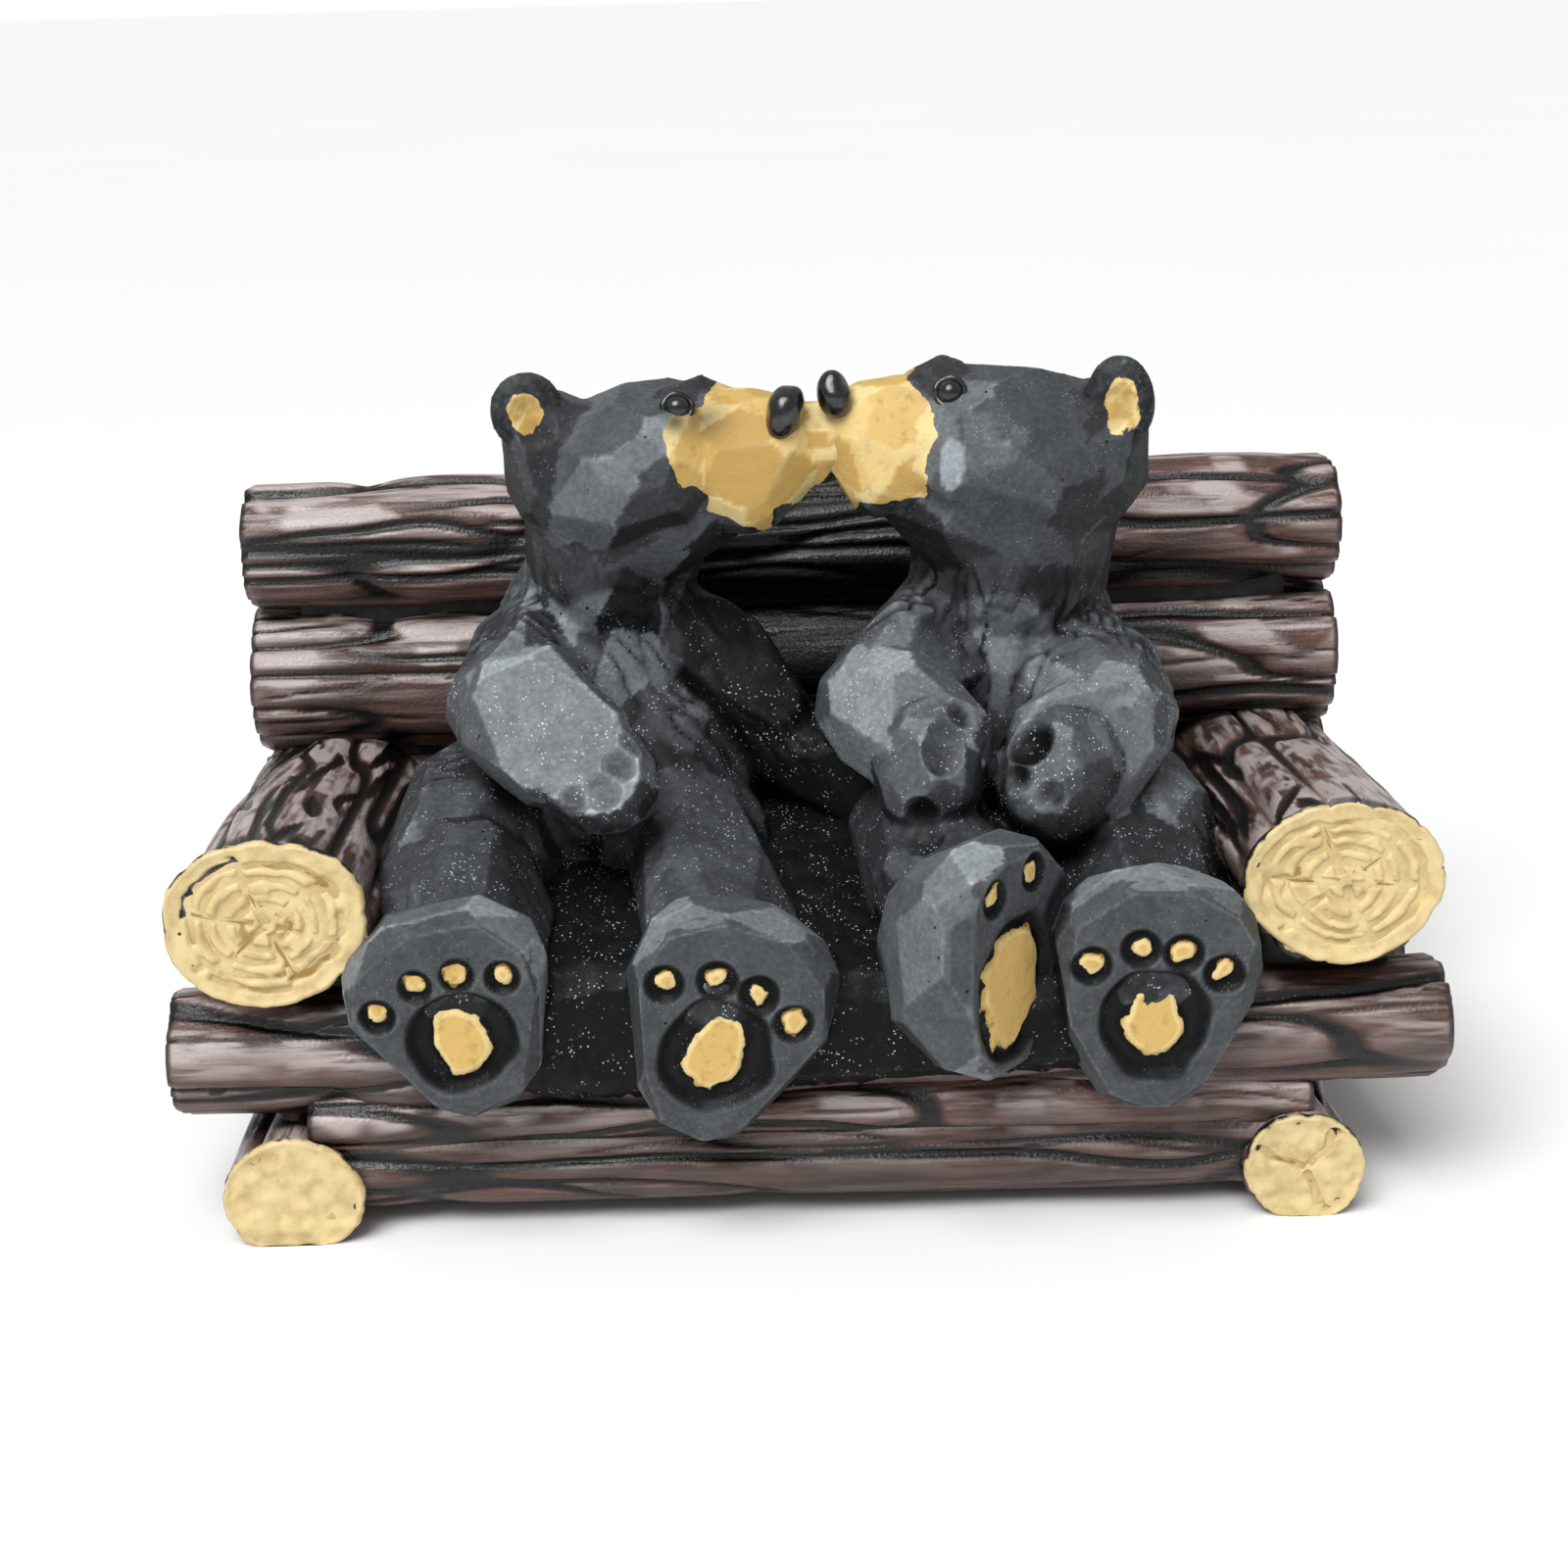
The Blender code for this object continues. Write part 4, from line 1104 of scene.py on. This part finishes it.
def add_foot(name, number):
    foot = FEET[name]
    width, height = foot[2] * bear_share(), foot[3] * bear_share()
    turned, place = sole_place(foot)
    out = turned.to_3x3() @ Vector((0, -1, 0))
    seed = FOOT_SEED + number
    form = join_forms([whittle(name, foot_balls(place, width, height), seed, [(turned.translation, out)])])
    facets = facets_of(form.data)
    fuse(form, FOOT_GRAIN, 2)
    mesh = form.data
    tone, _ = brush_and_light_tones(mesh, facets, [TONES["foot"]], seed)
    roughen(mesh, seed, 0.2 * MM)
    points, normals = points_of(mesh), normals_of(mesh)
    back = np.array(place.inverted())
    across, behind, up = (points @ back[:3, :3].T + back[:3, 3]).T
    on_sole = smooth_step(2.4 * MM, 1.6 * MM, behind) * smooth_step(0.3, 0.7, normals @ np.array(out))
    depth, gold, sole_tone = carve_sole(foot[6], across, up, width, height, number)
    set_points(mesh, points - np.outer(depth * on_sole, out))
    save_fur(
        form, name, FOOT_GRAIN,
        tone=np.where(on_sole > 0.5, sole_tone, tone), facet=PAD_SHADE,
        gold=np.where(on_sole > 0.4, gold, NO_GOLD), smoke=0, specks=0.15,
    )


def add_lap():
    name = "fur_on_the_seat"
    obj, tone, facet = add_fur(name, {"lap": (LAP, LAP_SEED)}, LAP_GRAIN, 2)
    strokes = fur_strokes(points_of(obj.data), (0.1, -0.7, -0.7), 1.5 * MM, 6 * MM, LAP_SEED + 1)
    push_out(obj.data, -1.3 * bpy.context.scene.bear_sizes.stroke_depth * strokes)
    save_fur(obj, name, LAP_GRAIN, tone=tone, facet=facet, gold=NO_GOLD, smoke=0, specks=1)


def ripple(mesh, width, depth, seed):
    """Small waves left by the knife, of a width and a depth."""
    push_out(mesh, depth * (soft_noise(points_of(mesh) / width, seed) - 0.5))


def add_nose(side):
    x, y, z, width, height, tilt = NOSES[side]
    half_width, half_height = width / 2 * bear_share(), height / 2 * bear_share()
    obj = flattened_ball(on_bear(x, y, z), (half_width, half_height, half_height), 0, math.radians(tilt))
    ripple(obj.data, 1.6 * MM, 0.5 * MM, 7)
    finish_piece(obj, f"{side}_bear_nose", "gloss_black")


def add_eye(side, number):
    """An eye, and the raised lid round it."""
    name = f"{side}_bear_{('near', 'far')[number]}_eye"
    place = on_bear(*EYES[side][number])
    radius = bpy.context.scene.bear_sizes.eye_radius
    finish_piece(flattened_ball(place, (radius,) * 3), name, "gloss_black")
    deselect()
    bpy.ops.mesh.primitive_torus_add(
        major_radius=1.12 * radius, minor_radius=0.3 * radius, major_segments=64, minor_segments=20,
    )
    lid = bpy.context.object
    ahead = Vector(LID_FACINGS[side][number])
    turned = ahead.to_track_quat("Z", "Y").to_matrix().to_4x4()
    lid.data.transform(Matrix.Translation(place + ahead * 0.12 * radius) @ turned)
    ripple(lid.data, 1.1 * MM, 0.25 * MM, 17)
    finish_piece(lid, name + "lid", "gloss_black")


# Materials

class Paintbox:
    """A new material, with short calls that add its nodes."""

    def __init__(self, name, roughness, coat=0.0):
        self.material = bpy.data.materials.new(name)
        self.material.use_nodes = True
        self.tree = self.material.node_tree
        self.shader = self.tree.nodes["Principled BSDF"]
        self.shader.inputs["Roughness"].default_value = roughness
        self.shader.inputs["Coat Weight"].default_value = coat
        self.shader.inputs["Coat Roughness"].default_value = 0.25
        self.place = self.tree.nodes.new("ShaderNodeTexCoord").outputs["Object"]

    def put(self, socket, value):
        if isinstance(value, bpy.types.NodeSocket):
            self.tree.links.new(value, socket)
        elif socket.type == "RGBA" and len(value) == 3:
            socket.default_value = (*value, 1.0)
        else:
            socket.default_value = value

    def add(self, kind, settings, output, **ways):
        """Adds a node of a kind with its inputs set, and gives one of its outputs."""
        node = self.tree.nodes.new(f"ShaderNode{kind}")
        for name, way in ways.items():
            setattr(node, name, way)
        for socket, value in settings.items():
            self.put(node.inputs[socket], value)
        return node.outputs[output]

    def stored(self, name):
        return self.add("Attribute", {}, "Fac", attribute_name=name)

    def noise(self, scale, detail=3.0, stretch=(1, 1, 1)):
        """Noise with a bump to each 1 / scale metres, drawn out along an axis where its stretch is small."""
        place = self.add("Mapping", {"Scale": stretch, "Vector": self.place}, "Vector")
        settings = {"Scale": scale, "Detail": detail, "Roughness": 0.55, "Vector": place}
        return self.add("TexNoise", settings, "Fac")

    def dots(self, spacing):
        """Distance from scattered dots, as a share of their spacing."""
        return self.add("TexVoronoi", {"Scale": 1 / spacing, "Vector": self.place}, "Distance")

    def math(self, operation, first, second):
        return self.add("Math", {0: first, 1: second}, "Value", operation=operation)

    def times(self, *values):
        return functools.reduce(functools.partial(self.math, "MULTIPLY"), values)

    def most(self, *values):
        return functools.reduce(functools.partial(self.math, "MAXIMUM"), values)

    def ragged(self, value, scale, reach):
        """A value with noise added to it, as far up as down."""
        rough = self.times(self.math("SUBTRACT", self.noise(scale), 0.5), reach)
        return self.math("ADD", value, rough)

    def ramp(self, value, low, high, to_low=0.0, to_high=1.0):
        settings = {"Value": value, "From Min": low, "From Max": high, "To Min": to_low, "To Max": to_high}
        return self.add("MapRange", settings, "Result", interpolation_type="SMOOTHSTEP")

    def cloud(self, scale, detail, *limits):
        """Noise sent through a ramp."""
        return self.ramp(self.noise(scale, detail), *limits)

    def mix(self, share, first, second):
        return self.add("Mix", {"Factor": share, 6: first, 7: second}, 2, data_type="RGBA")

    def bump(self, height, distance, strength):
        settings = {"Distance": distance, "Strength": strength, "Height": height}
        self.put(self.shader.inputs["Normal"], self.add("Bump", settings, "Normal"))

    def finish(self, colour, roughness=None):
        self.put(self.shader.inputs["Base Color"], colour)
        if roughness is not None:
            self.put(self.shader.inputs["Roughness"], roughness)
        return self.material


def fur_paint(name, colours):
    """Black paint, dry-brushed with silver-grey on facets and edges, with painted light and shade, gold
    patches and fine specks.
    """
    box = Paintbox(name, 0.5)
    box.shader.inputs["Specular IOR Level"].default_value = 0.13
    tone, edge, open_air, facet = (box.stored(word) for word in ("tone", "edge", "open", "facet"))
    # The grey follows the stored tone, which holds dry brush and painted light, and thins out where a point
    # is closed in and in creases: partly dry brush that misses the hollows, partly painted shade.
    brushed = box.times(
        tone, box.cloud(1500, 4, 0.3, 0.7, 0.82, 1.18), box.cloud(260, 3, 0.3, 0.7, 0.85, 1.12),
        box.ramp(open_air, 0.2, 0.78, 0.02, 1.0),
    )
    rubbed = box.times(box.ramp(edge, 0.03, 0.16, 0.0, 0.8), tone, box.ramp(open_air, 0.3, 0.7), 1.6)
    worn = box.times(box.math("ADD", brushed, rubbed), box.ramp(edge, -0.14, -0.01, 0.15, 1.0))
    sparkle = box.times(box.ramp(box.dots(0.52 * MM), 0.12, 0.25, 1.0, 0.0), box.cloud(380, 3, 0.46, 0.62))
    worn = box.math("ADD", worn, box.times(sparkle, box.stored("specks"), 0.6))
    fur = box.mix(worn, colours.black, colours.silver)
    pits = box.times(box.ramp(box.dots(2.6 * MM), 0.05, 0.085, 1.0, 0.0), box.cloud(150, 1, 0.5, 0.55))
    fur = box.mix(pits, fur, colours.black)
    # Gold shade: thin paint, and painted shade in creases and on some facets.
    thin = box.most(
        box.ramp(edge, -0.1, 0.0, 0.9, 0.0), box.cloud(620, 4, 0.5, 0.75, 0.0, 0.42),
        box.ramp(facet, 0.0, 0.45, 0.34, 0.0),
    )
    # Painted highlights: some facets and the convex edges of the gold are made lighter.
    gilt = box.mix(box.ramp(facet, 0.3, 1.0), colours.gold, colours.gold_light)
    gilt = box.mix(box.ramp(edge, 0.02, 0.1, 0.0, 0.8), gilt, colours.gold_light)
    gilt = box.mix(thin, gilt, colours.gold_shade)
    # Black over the gold: airbrushed paint beside the eyes and painted shadow between the muzzles.
    gilt = box.mix(box.times(box.stored("smoke"), 0.85), gilt, colours.black)
    on_gold = box.ramp(box.ragged(box.stored("gold"), 420, 1.6), -0.04, 0.08)
    box.bump(box.math("ADD", box.noise(2600, 2), box.times(box.noise(700), 1.5)), 0.12 * MM, 0.6)
    return box.finish(box.mix(on_gold, fur, gilt), box.cloud(500, 2, 0.3, 0.7, 0.4, 0.58))


def bark_paint(name, colours):
    """Red-brown bark with black in the grooves, pale streaks and painted highlights on ridges that face up,
    painted shade where it is closed in, and cream on sawn ends.
    """
    stretch, darkness = BARKS[name]
    box = Paintbox(name, 0.36)
    groove, open_air, rim, lit = (box.stored(word) for word in ("groove", "open", "rim", "lit"))
    streaks = box.noise(1100, 3, stretch)
    wood = box.mix(box.cloud(95, 3, 0.35, 0.65, 0.0, 0.6), colours.bark_red, colours.bark_dark)
    wood = box.mix(box.ramp(streaks, 0.36, 0.6, 0.0, 0.6), wood, colours.bark_dark)
    # Pale streaks on the ridges: dry brush, made stronger on faces turned up to the light as a painted
    # highlight, and weaker where closed in as painted shade.
    pale = box.times(
        box.ramp(box.noise(620, 4, stretch), 0.4, 0.62), box.ramp(groove, 0.02, 0.2, 1.0, 0.0),
        box.ramp(open_air, 0.4, 0.8, 0.0, 0.85 * (1 - darkness)), box.ramp(lit, 0.2, 0.8, 0.16, 1.0),
    )
    # Pale patches: a painted sheen on faces turned up to the light, over patchy dry brush.
    pale_patches_and_sheen = box.times(
        box.cloud(85, 2, 0.47, 0.57), box.ramp(lit, 0.1, 0.7), box.ramp(groove, 0.05, 0.25, 1.0, 0.0),
        box.ramp(box.noise(900, 3, stretch), 0.38, 0.5, 0.25, 0.9), 1 - darkness,
    )
    wood = box.mix(box.most(pale, pale_patches_and_sheen), wood, colours.bark_light)
    # Painted shade: the bark goes black where it is closed in.
    painted_shade_in_hollows = box.ramp(open_air, 0.15, 0.55, 1.0, 0.0)
    dark = box.most(box.ramp(groove, 0.08, 0.42), painted_shade_in_hollows, box.stored("black_between_bears"), darkness * 0.5)
    wood = box.mix(dark, wood, colours.black)
    sawn = box.mix(box.cloud(260, 3, 0.35, 0.7, 0.0, 0.5), colours.cream, colours.cream_shade)
    on_end = box.ramp(box.ragged(rim, 300, 2.0), 0.25, 0.4)
    wood = box.mix(box.ramp(box.math("ABSOLUTE", rim, 0.0), 0.3, 0.9, 0.8, 0.0), wood, colours.black)
    box.bump(box.math("ADD", streaks, box.noise(2200, 2)), 0.18 * MM, 0.7)
    return box.finish(box.mix(on_end, wood, sawn), box.ramp(streaks, 0.3, 0.7, 0.28, 0.5))


def end_paint(name, colours):
    """Cream paint on carved log ends, with an ochre wash in the cuts and a dark, ragged edge."""
    box = Paintbox(name, 0.5)
    washed = box.most(box.ramp(box.stored("cut"), 0.3, 0.9), box.cloud(420, 4, 0.4, 0.7, 0.0, 0.4))
    cream = box.mix(washed, colours.cream, colours.cream_shade)
    pits = box.times(box.ramp(box.dots(3.4 * MM), 0.05, 0.09, 1.0, 0.0), box.cloud(120, 1, 0.56, 0.6))
    cream = box.mix(pits, cream, colours.black)
    edge = box.ramp(box.ragged(box.stored("rim"), 330, 2.4), -0.75, -0.35, 1.0, 0.0)
    box.bump(box.noise(1500), 0.12 * MM, 0.6)
    return box.finish(box.mix(edge, cream, colours.black), box.cloud(600, 2, 0.3, 0.7, 0.42, 0.6))


def gloss_paint(name, colours):
    """Gloss black of eyes and noses, worn a little grey."""
    box = Paintbox(name, 0.16, 0.6)
    worn = box.mix(box.cloud(900, 3, 0.5, 0.8, 0.0, 0.04), colours.black, colours.silver)
    box.bump(box.noise(900, 2), 0.1 * MM, 0.4)
    return box.finish(worn, box.cloud(700, 2, 0.3, 0.7, 0.1, 0.3))


def core_paint(name, colours):
    """Dull black of the plain filling behind and below the logs."""
    box = Paintbox(name, 0.7)
    worn = box.mix(box.cloud(400, 4, 0.4, 0.8, 0.0, 0.03), colours.black, colours.silver)
    box.bump(box.noise(900), 0.2 * MM, 0.5)
    return box.finish(worn)


# The barks: how they are drawn out along the logs, and how dark they are
BARKS = {
    "bark_along_x": ((0.09, 1, 1), 0.0),
    "bark_along_x_dark": ((0.09, 1, 1), 0.5),
    "bark_along_y": ((1, 0.09, 1), 0.0),
}
PAINTS = {
    "dry_brushed_black": fur_paint, "cream_log_end": end_paint, "gloss_black": gloss_paint,
    "black_filling": core_paint, **dict.fromkeys(BARKS, bark_paint),
}


def material_called(name):
    """The material of that name, made the first time that it is asked for."""
    return bpy.data.materials.get(name) or PAINTS[name](name, bpy.context.scene.figurine_colours)


# Operators

class FIGURINE_OT_seat_logs(bpy.types.Operator):
    """Adds the logs of the seat"""

    bl_idname = "figurine.seat_logs"
    bl_label = "Seat Logs"

    def execute(self, context):
        for i in range(SEAT_LOG_COUNT):
            depth = FIRST_SEAT_DEPTH + i * SEAT_PITCH
            length = BENCH_WIDTH - (i % 2) * SEAT_LOG_STAGGER
            more = {"seed": 10} if i == 0 else {"seed": 10 + i, "around": 72, "side_rows": 84}
            log = bench_log(f"seat_log_{i + 1}", length, depth, SEAT_HEIGHT, SEAT_LOG_RADIUS, **more)
            add_log(log, "bark_along_x")
        return {"FINISHED"}


class FIGURINE_OT_back_logs(bpy.types.Operator):
    """Adds the three logs of the backrest"""

    bl_idname = "figurine.back_logs"
    bl_label = "Back Logs"

    def execute(self, context):
        backs = [
            ("bottom_back_log", BOTTOM_BACK_HEIGHT, BOTTOM_BACK_RADIUS, {"seed": 21, "around": 84}),
            ("middle_back_log", MIDDLE_BACK_HEIGHT, MIDDLE_BACK_RADIUS, {"seed": 22, "around": 130}),
            ("top_back_log", TOP_BACK_HEIGHT, TOP_BACK_RADIUS, {"seed": 23, "around": 130}),
        ]
        for name, height, radius, more in backs:
            length = BENCH_WIDTH - BACK_SHORTFALL
            log = bench_log(name, length, BACK_DEPTH, height, radius, side_rows=136, **more)
            add_log(log, "bark_along_x")
        return {"FINISHED"}


class FIGURINE_OT_lower_logs(bpy.types.Operator):
    """Adds the two logs between the runners, and the apron that joins the front one to the seat"""

    bl_idname = "figurine.lower_logs"
    bl_label = "Lower Logs"

    def execute(self, context):
        length = RUNNER_SPACING - RUNNER_WIDTHS["right"] / 2
        lower = [
            ("lower_front_log", SEAT_SETBACK + LOWER_LOG_RADIUS, {"seed": 31, "around": 96}),
            ("lower_rear_log", BACK_DEPTH, {"seed": 32, "around": 72}),
        ]
        for name, depth, more in lower:
            log = bench_log(name, length, depth, LOWER_LOG_HEIGHT, LOWER_LOG_RADIUS, folds=0.8 * MM, **more)
            add_log(log, "bark_along_x_dark")
        apron = bench_log(
            "apron", length + APRON_OVERHANG, SEAT_SETBACK + APRON_STEP + APRON_RADIUS, RUNNER_HEIGHT,
            APRON_RADIUS, seed=33, around=84, folds=0.6 * MM, grooves=0.6,
        )
        add_log(apron, "bark_along_x")
        return {"FINISHED"}


class FIGURINE_OT_runners(bpy.types.Operator):
    """Adds the two runners that the bench stands on"""

    bl_idname = "figurine.runners"
    bl_label = "Runners"

    def execute(self, context):
        for side, cracks in (("left", 0), ("right", 3)):
            log = runner(side)
            add_log(log, "bark_along_y")
            add_log_end(log, f"{side}_runner_end", 0, cracks)
        return {"FINISHED"}


class FIGURINE_OT_armrests(bpy.types.Operator):
    """Adds the two armrests, with rings carved in their front ends"""

    bl_idname = "figurine.armrests"
    bl_label = "Armrests"

    def execute(self, context):
        for side in ("left", "right"):
            log = armrest(side)
            add_log(log, "bark_along_y")
            add_log_end(log, f"{side}_armrest_end", context.scene.bench_sizes.rings, 6)
        return {"FINISHED"}


class FIGURINE_OT_filling(bpy.types.Operator):
    """Adds the plain filling of the casting, between and below the logs"""

    bl_idname = "figurine.filling"
    bl_label = "Filling"

    def execute(self, context):
        core_half = RUNNER_SPACING / 2
        back_half = (BENCH_WIDTH - BACK_SHORTFALL) / 2 - CORE_INSET
        arm_top = SEAT_TOP + ARM_HEIGHT / 3
        blocks = {
            "seat_filling": (
                (-core_half, FIRST_SEAT_DEPTH, FLOOR_CLEARANCE + 0.4 * MM),
                (core_half, BACK_DEPTH, SEAT_HEIGHT + SEAT_LOG_RADIUS / 2),
            ),
            "back_filling": (
                (-back_half, BACK_DEPTH - CORE_INSET / 2, SEAT_HEIGHT),
                (back_half, BACK_DEPTH + CORE_INSET / 2, TOP_BACK_HEIGHT),
            ),
        }
        for side, sign in (("left", -1), ("right", 1)):
            x = sign * ARM_SPACING / 2
            blocks[f"{side}_armrest_filling"] = (
                (x - ARM_WIDTH / 3, FIRST_SEAT_DEPTH, SEAT_HEIGHT), (x + ARM_WIDTH / 3, BACK_DEPTH, arm_top),
            )
        for name, (low, high) in blocks.items():
            low, high = Vector(low), Vector(high)
            deselect()
            bpy.ops.mesh.primitive_cube_add(size=1)
            obj = context.object
            middle = (low + high) / 2 + Vector((0, FRONT, 0))
            obj.data.transform(Matrix.Translation(middle) @ Matrix.Diagonal((*(high - low), 1)))
            bevel = obj.modifiers.new("Soften", "BEVEL")
            bevel.width = 1.2 * MM
            bevel.segments = 3
            bpy.ops.object.modifier_apply(modifier=bevel.name)
            finish_piece(obj, name, "black_filling")
        return {"FINISHED"}


class FIGURINE_OT_bears(bpy.types.Operator):
    """Adds the two bears and the fur between them"""

    bl_idname = "figurine.bears"
    bl_label = "Bears"

    def execute(self, context):
        for side in ("left", "right"):
            add_bear(side)
        add_lap()
        return {"FINISHED"}


class FIGURINE_OT_faces(bpy.types.Operator):
    """Adds the eyes, their lids and the noses"""

    bl_idname = "figurine.faces"
    bl_label = "Eyes and Noses"

    def execute(self, context):
        for side in ("left", "right"):
            add_nose(side)
            for number in range(len(EYES[side])):
                add_eye(side, number)
        return {"FINISHED"}


class FIGURINE_OT_feet(bpy.types.Operator):
    """Adds the four feet, with their pads and toes"""

    bl_idname = "figurine.feet"
    bl_label = "Feet"

    def execute(self, context):
        for number, name in enumerate(FEET, start=1):
            add_foot(name, number)
        return {"FINISHED"}


def place_in_scene(name, data, matrix):
    """Adds a light or camera at a place, turned by a matrix."""
    obj = bpy.data.objects.new(name, data)
    obj.matrix_world = matrix
    bpy.context.scene.collection.objects.link(obj)
    return obj


def add_softbox(name, place, target):
    lamp = bpy.data.lights.new(name, "AREA")
    lamp.shape = "DISK"
    lamp.size = KEY_SIZE
    lamp.energy = KEY_POWER
    turn = (Vector(target) - Vector(place)).to_track_quat("-Z", "Y").to_matrix().to_4x4()
    place_in_scene(name, lamp, Matrix.Translation(place) @ turn)


def add_daylight(name):
    """Broad, soft light from above."""
    daylight = bpy.data.lights.new(name, "SUN")
    daylight.energy = DAYLIGHT_STRENGTH
    daylight.angle = DAYLIGHT_SPREAD
    place_in_scene(name, daylight, Euler(DAYLIGHT_TURN).to_matrix().to_4x4())


def add_sky(name):
    """White behind the scene, and a weaker white that lights it."""
    world = bpy.data.worlds.new(name)
    bpy.context.scene.world = world
    world.use_nodes = True
    sky = world.node_tree.nodes["Background"]
    sky.inputs["Color"].default_value = (1, 1, 1, 1)
    seen = world.node_tree.nodes.new("ShaderNodeLightPath")
    strength = world.node_tree.nodes.new("ShaderNodeMapRange")
    strength.inputs["To Min"].default_value = SKY_LIGHT
    world.node_tree.links.new(seen.outputs["Is Camera Ray"], strength.inputs["Value"])
    world.node_tree.links.new(strength.outputs["Result"], sky.inputs["Strength"])


def add_camera(name):
    """The camera at the photograph's place."""
    lens = bpy.data.cameras.new(name)
    lens.sensor_width = SENSOR_WIDTH
    lens.lens = FOCAL_LENGTH
    lens.clip_start = 0.01
    level, yaw = math.cos(CAMERA_TILT), CAMERA_YAW
    ahead = Vector((math.sin(yaw) * level, math.cos(yaw) * level, -math.sin(CAMERA_TILT)))
    right = Vector((math.cos(yaw), -math.sin(yaw), 0))
    turn = Matrix((right, right.cross(ahead), -ahead)).transposed().to_4x4()
    place = Matrix.Translation(Vector(CAMERA_PLACE) + Vector((0, FRONT, 0)))
    return place_in_scene(name, lens, place @ turn @ Matrix.Rotation(-CAMERA_ROLL, 4, "Z"))


class FIGURINE_OT_stage(bpy.types.Operator):
    """Adds the pale floor, the soft studio light and the camera"""

    bl_idname = "figurine.stage"
    bl_label = "Stage"

    def execute(self, context):
        scene = context.scene
        deselect()
        bpy.ops.mesh.primitive_plane_add(size=FLOOR_SIZE)
        floor = context.object
        floor.name = "floor"
        box = Paintbox("pale_floor", 0.9)
        floor.data.materials.append(box.finish(box.mix(box.noise(3, 2), (0.93,) * 3, (0.96,) * 3)))
        add_sky("studio")
        add_softbox("key", KEY_PLACE, KEY_TARGET)
        add_daylight("overhead")
        scene.view_settings.view_transform = "Standard"
        scene.camera = add_camera("camera")
        return {"FINISHED"}


STEPS = (
    FIGURINE_OT_seat_logs, FIGURINE_OT_back_logs, FIGURINE_OT_lower_logs, FIGURINE_OT_runners,
    FIGURINE_OT_armrests, FIGURINE_OT_filling, FIGURINE_OT_bears, FIGURINE_OT_faces, FIGURINE_OT_feet,
    FIGURINE_OT_stage,
)


class FIGURINE_PT_panel(bpy.types.Panel):
    """Lists the sizes, the colours and the steps"""

    bl_idname = "FIGURINE_PT_panel"
    bl_label = "Bears on a Log Bench"
    bl_space_type = "VIEW_3D"
    bl_region_type = "UI"
    bl_category = "Bears"

    def draw(self, context):
        for group in (context.scene.bench_sizes, context.scene.bear_sizes, context.scene.figurine_colours):
            column = self.layout.column()
            for name in group.__annotations__:
                column.prop(group, name)
        for step in STEPS:
            self.layout.operator(step.bl_idname)


GROUPS = {"bench_sizes": BenchSizes, "bear_sizes": BearSizes, "figurine_colours": Colours}


def register():
    for name, group in GROUPS.items():
        bpy.utils.register_class(group)
        setattr(bpy.types.Scene, name, PointerProperty(type=group))
    for item in (*STEPS, FIGURINE_PT_panel):
        bpy.utils.register_class(item)


def unregister():
    for item in (*STEPS, FIGURINE_PT_panel):
        bpy.utils.unregister_class(item)
    for name, group in GROUPS.items():
        delattr(bpy.types.Scene, name)
        bpy.utils.unregister_class(group)


def main():
    register()
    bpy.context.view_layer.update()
    for step in STEPS:
        group, name = step.bl_idname.split(".")
        getattr(getattr(bpy.ops, group), name)()


if __name__ == "__main__":
    main()
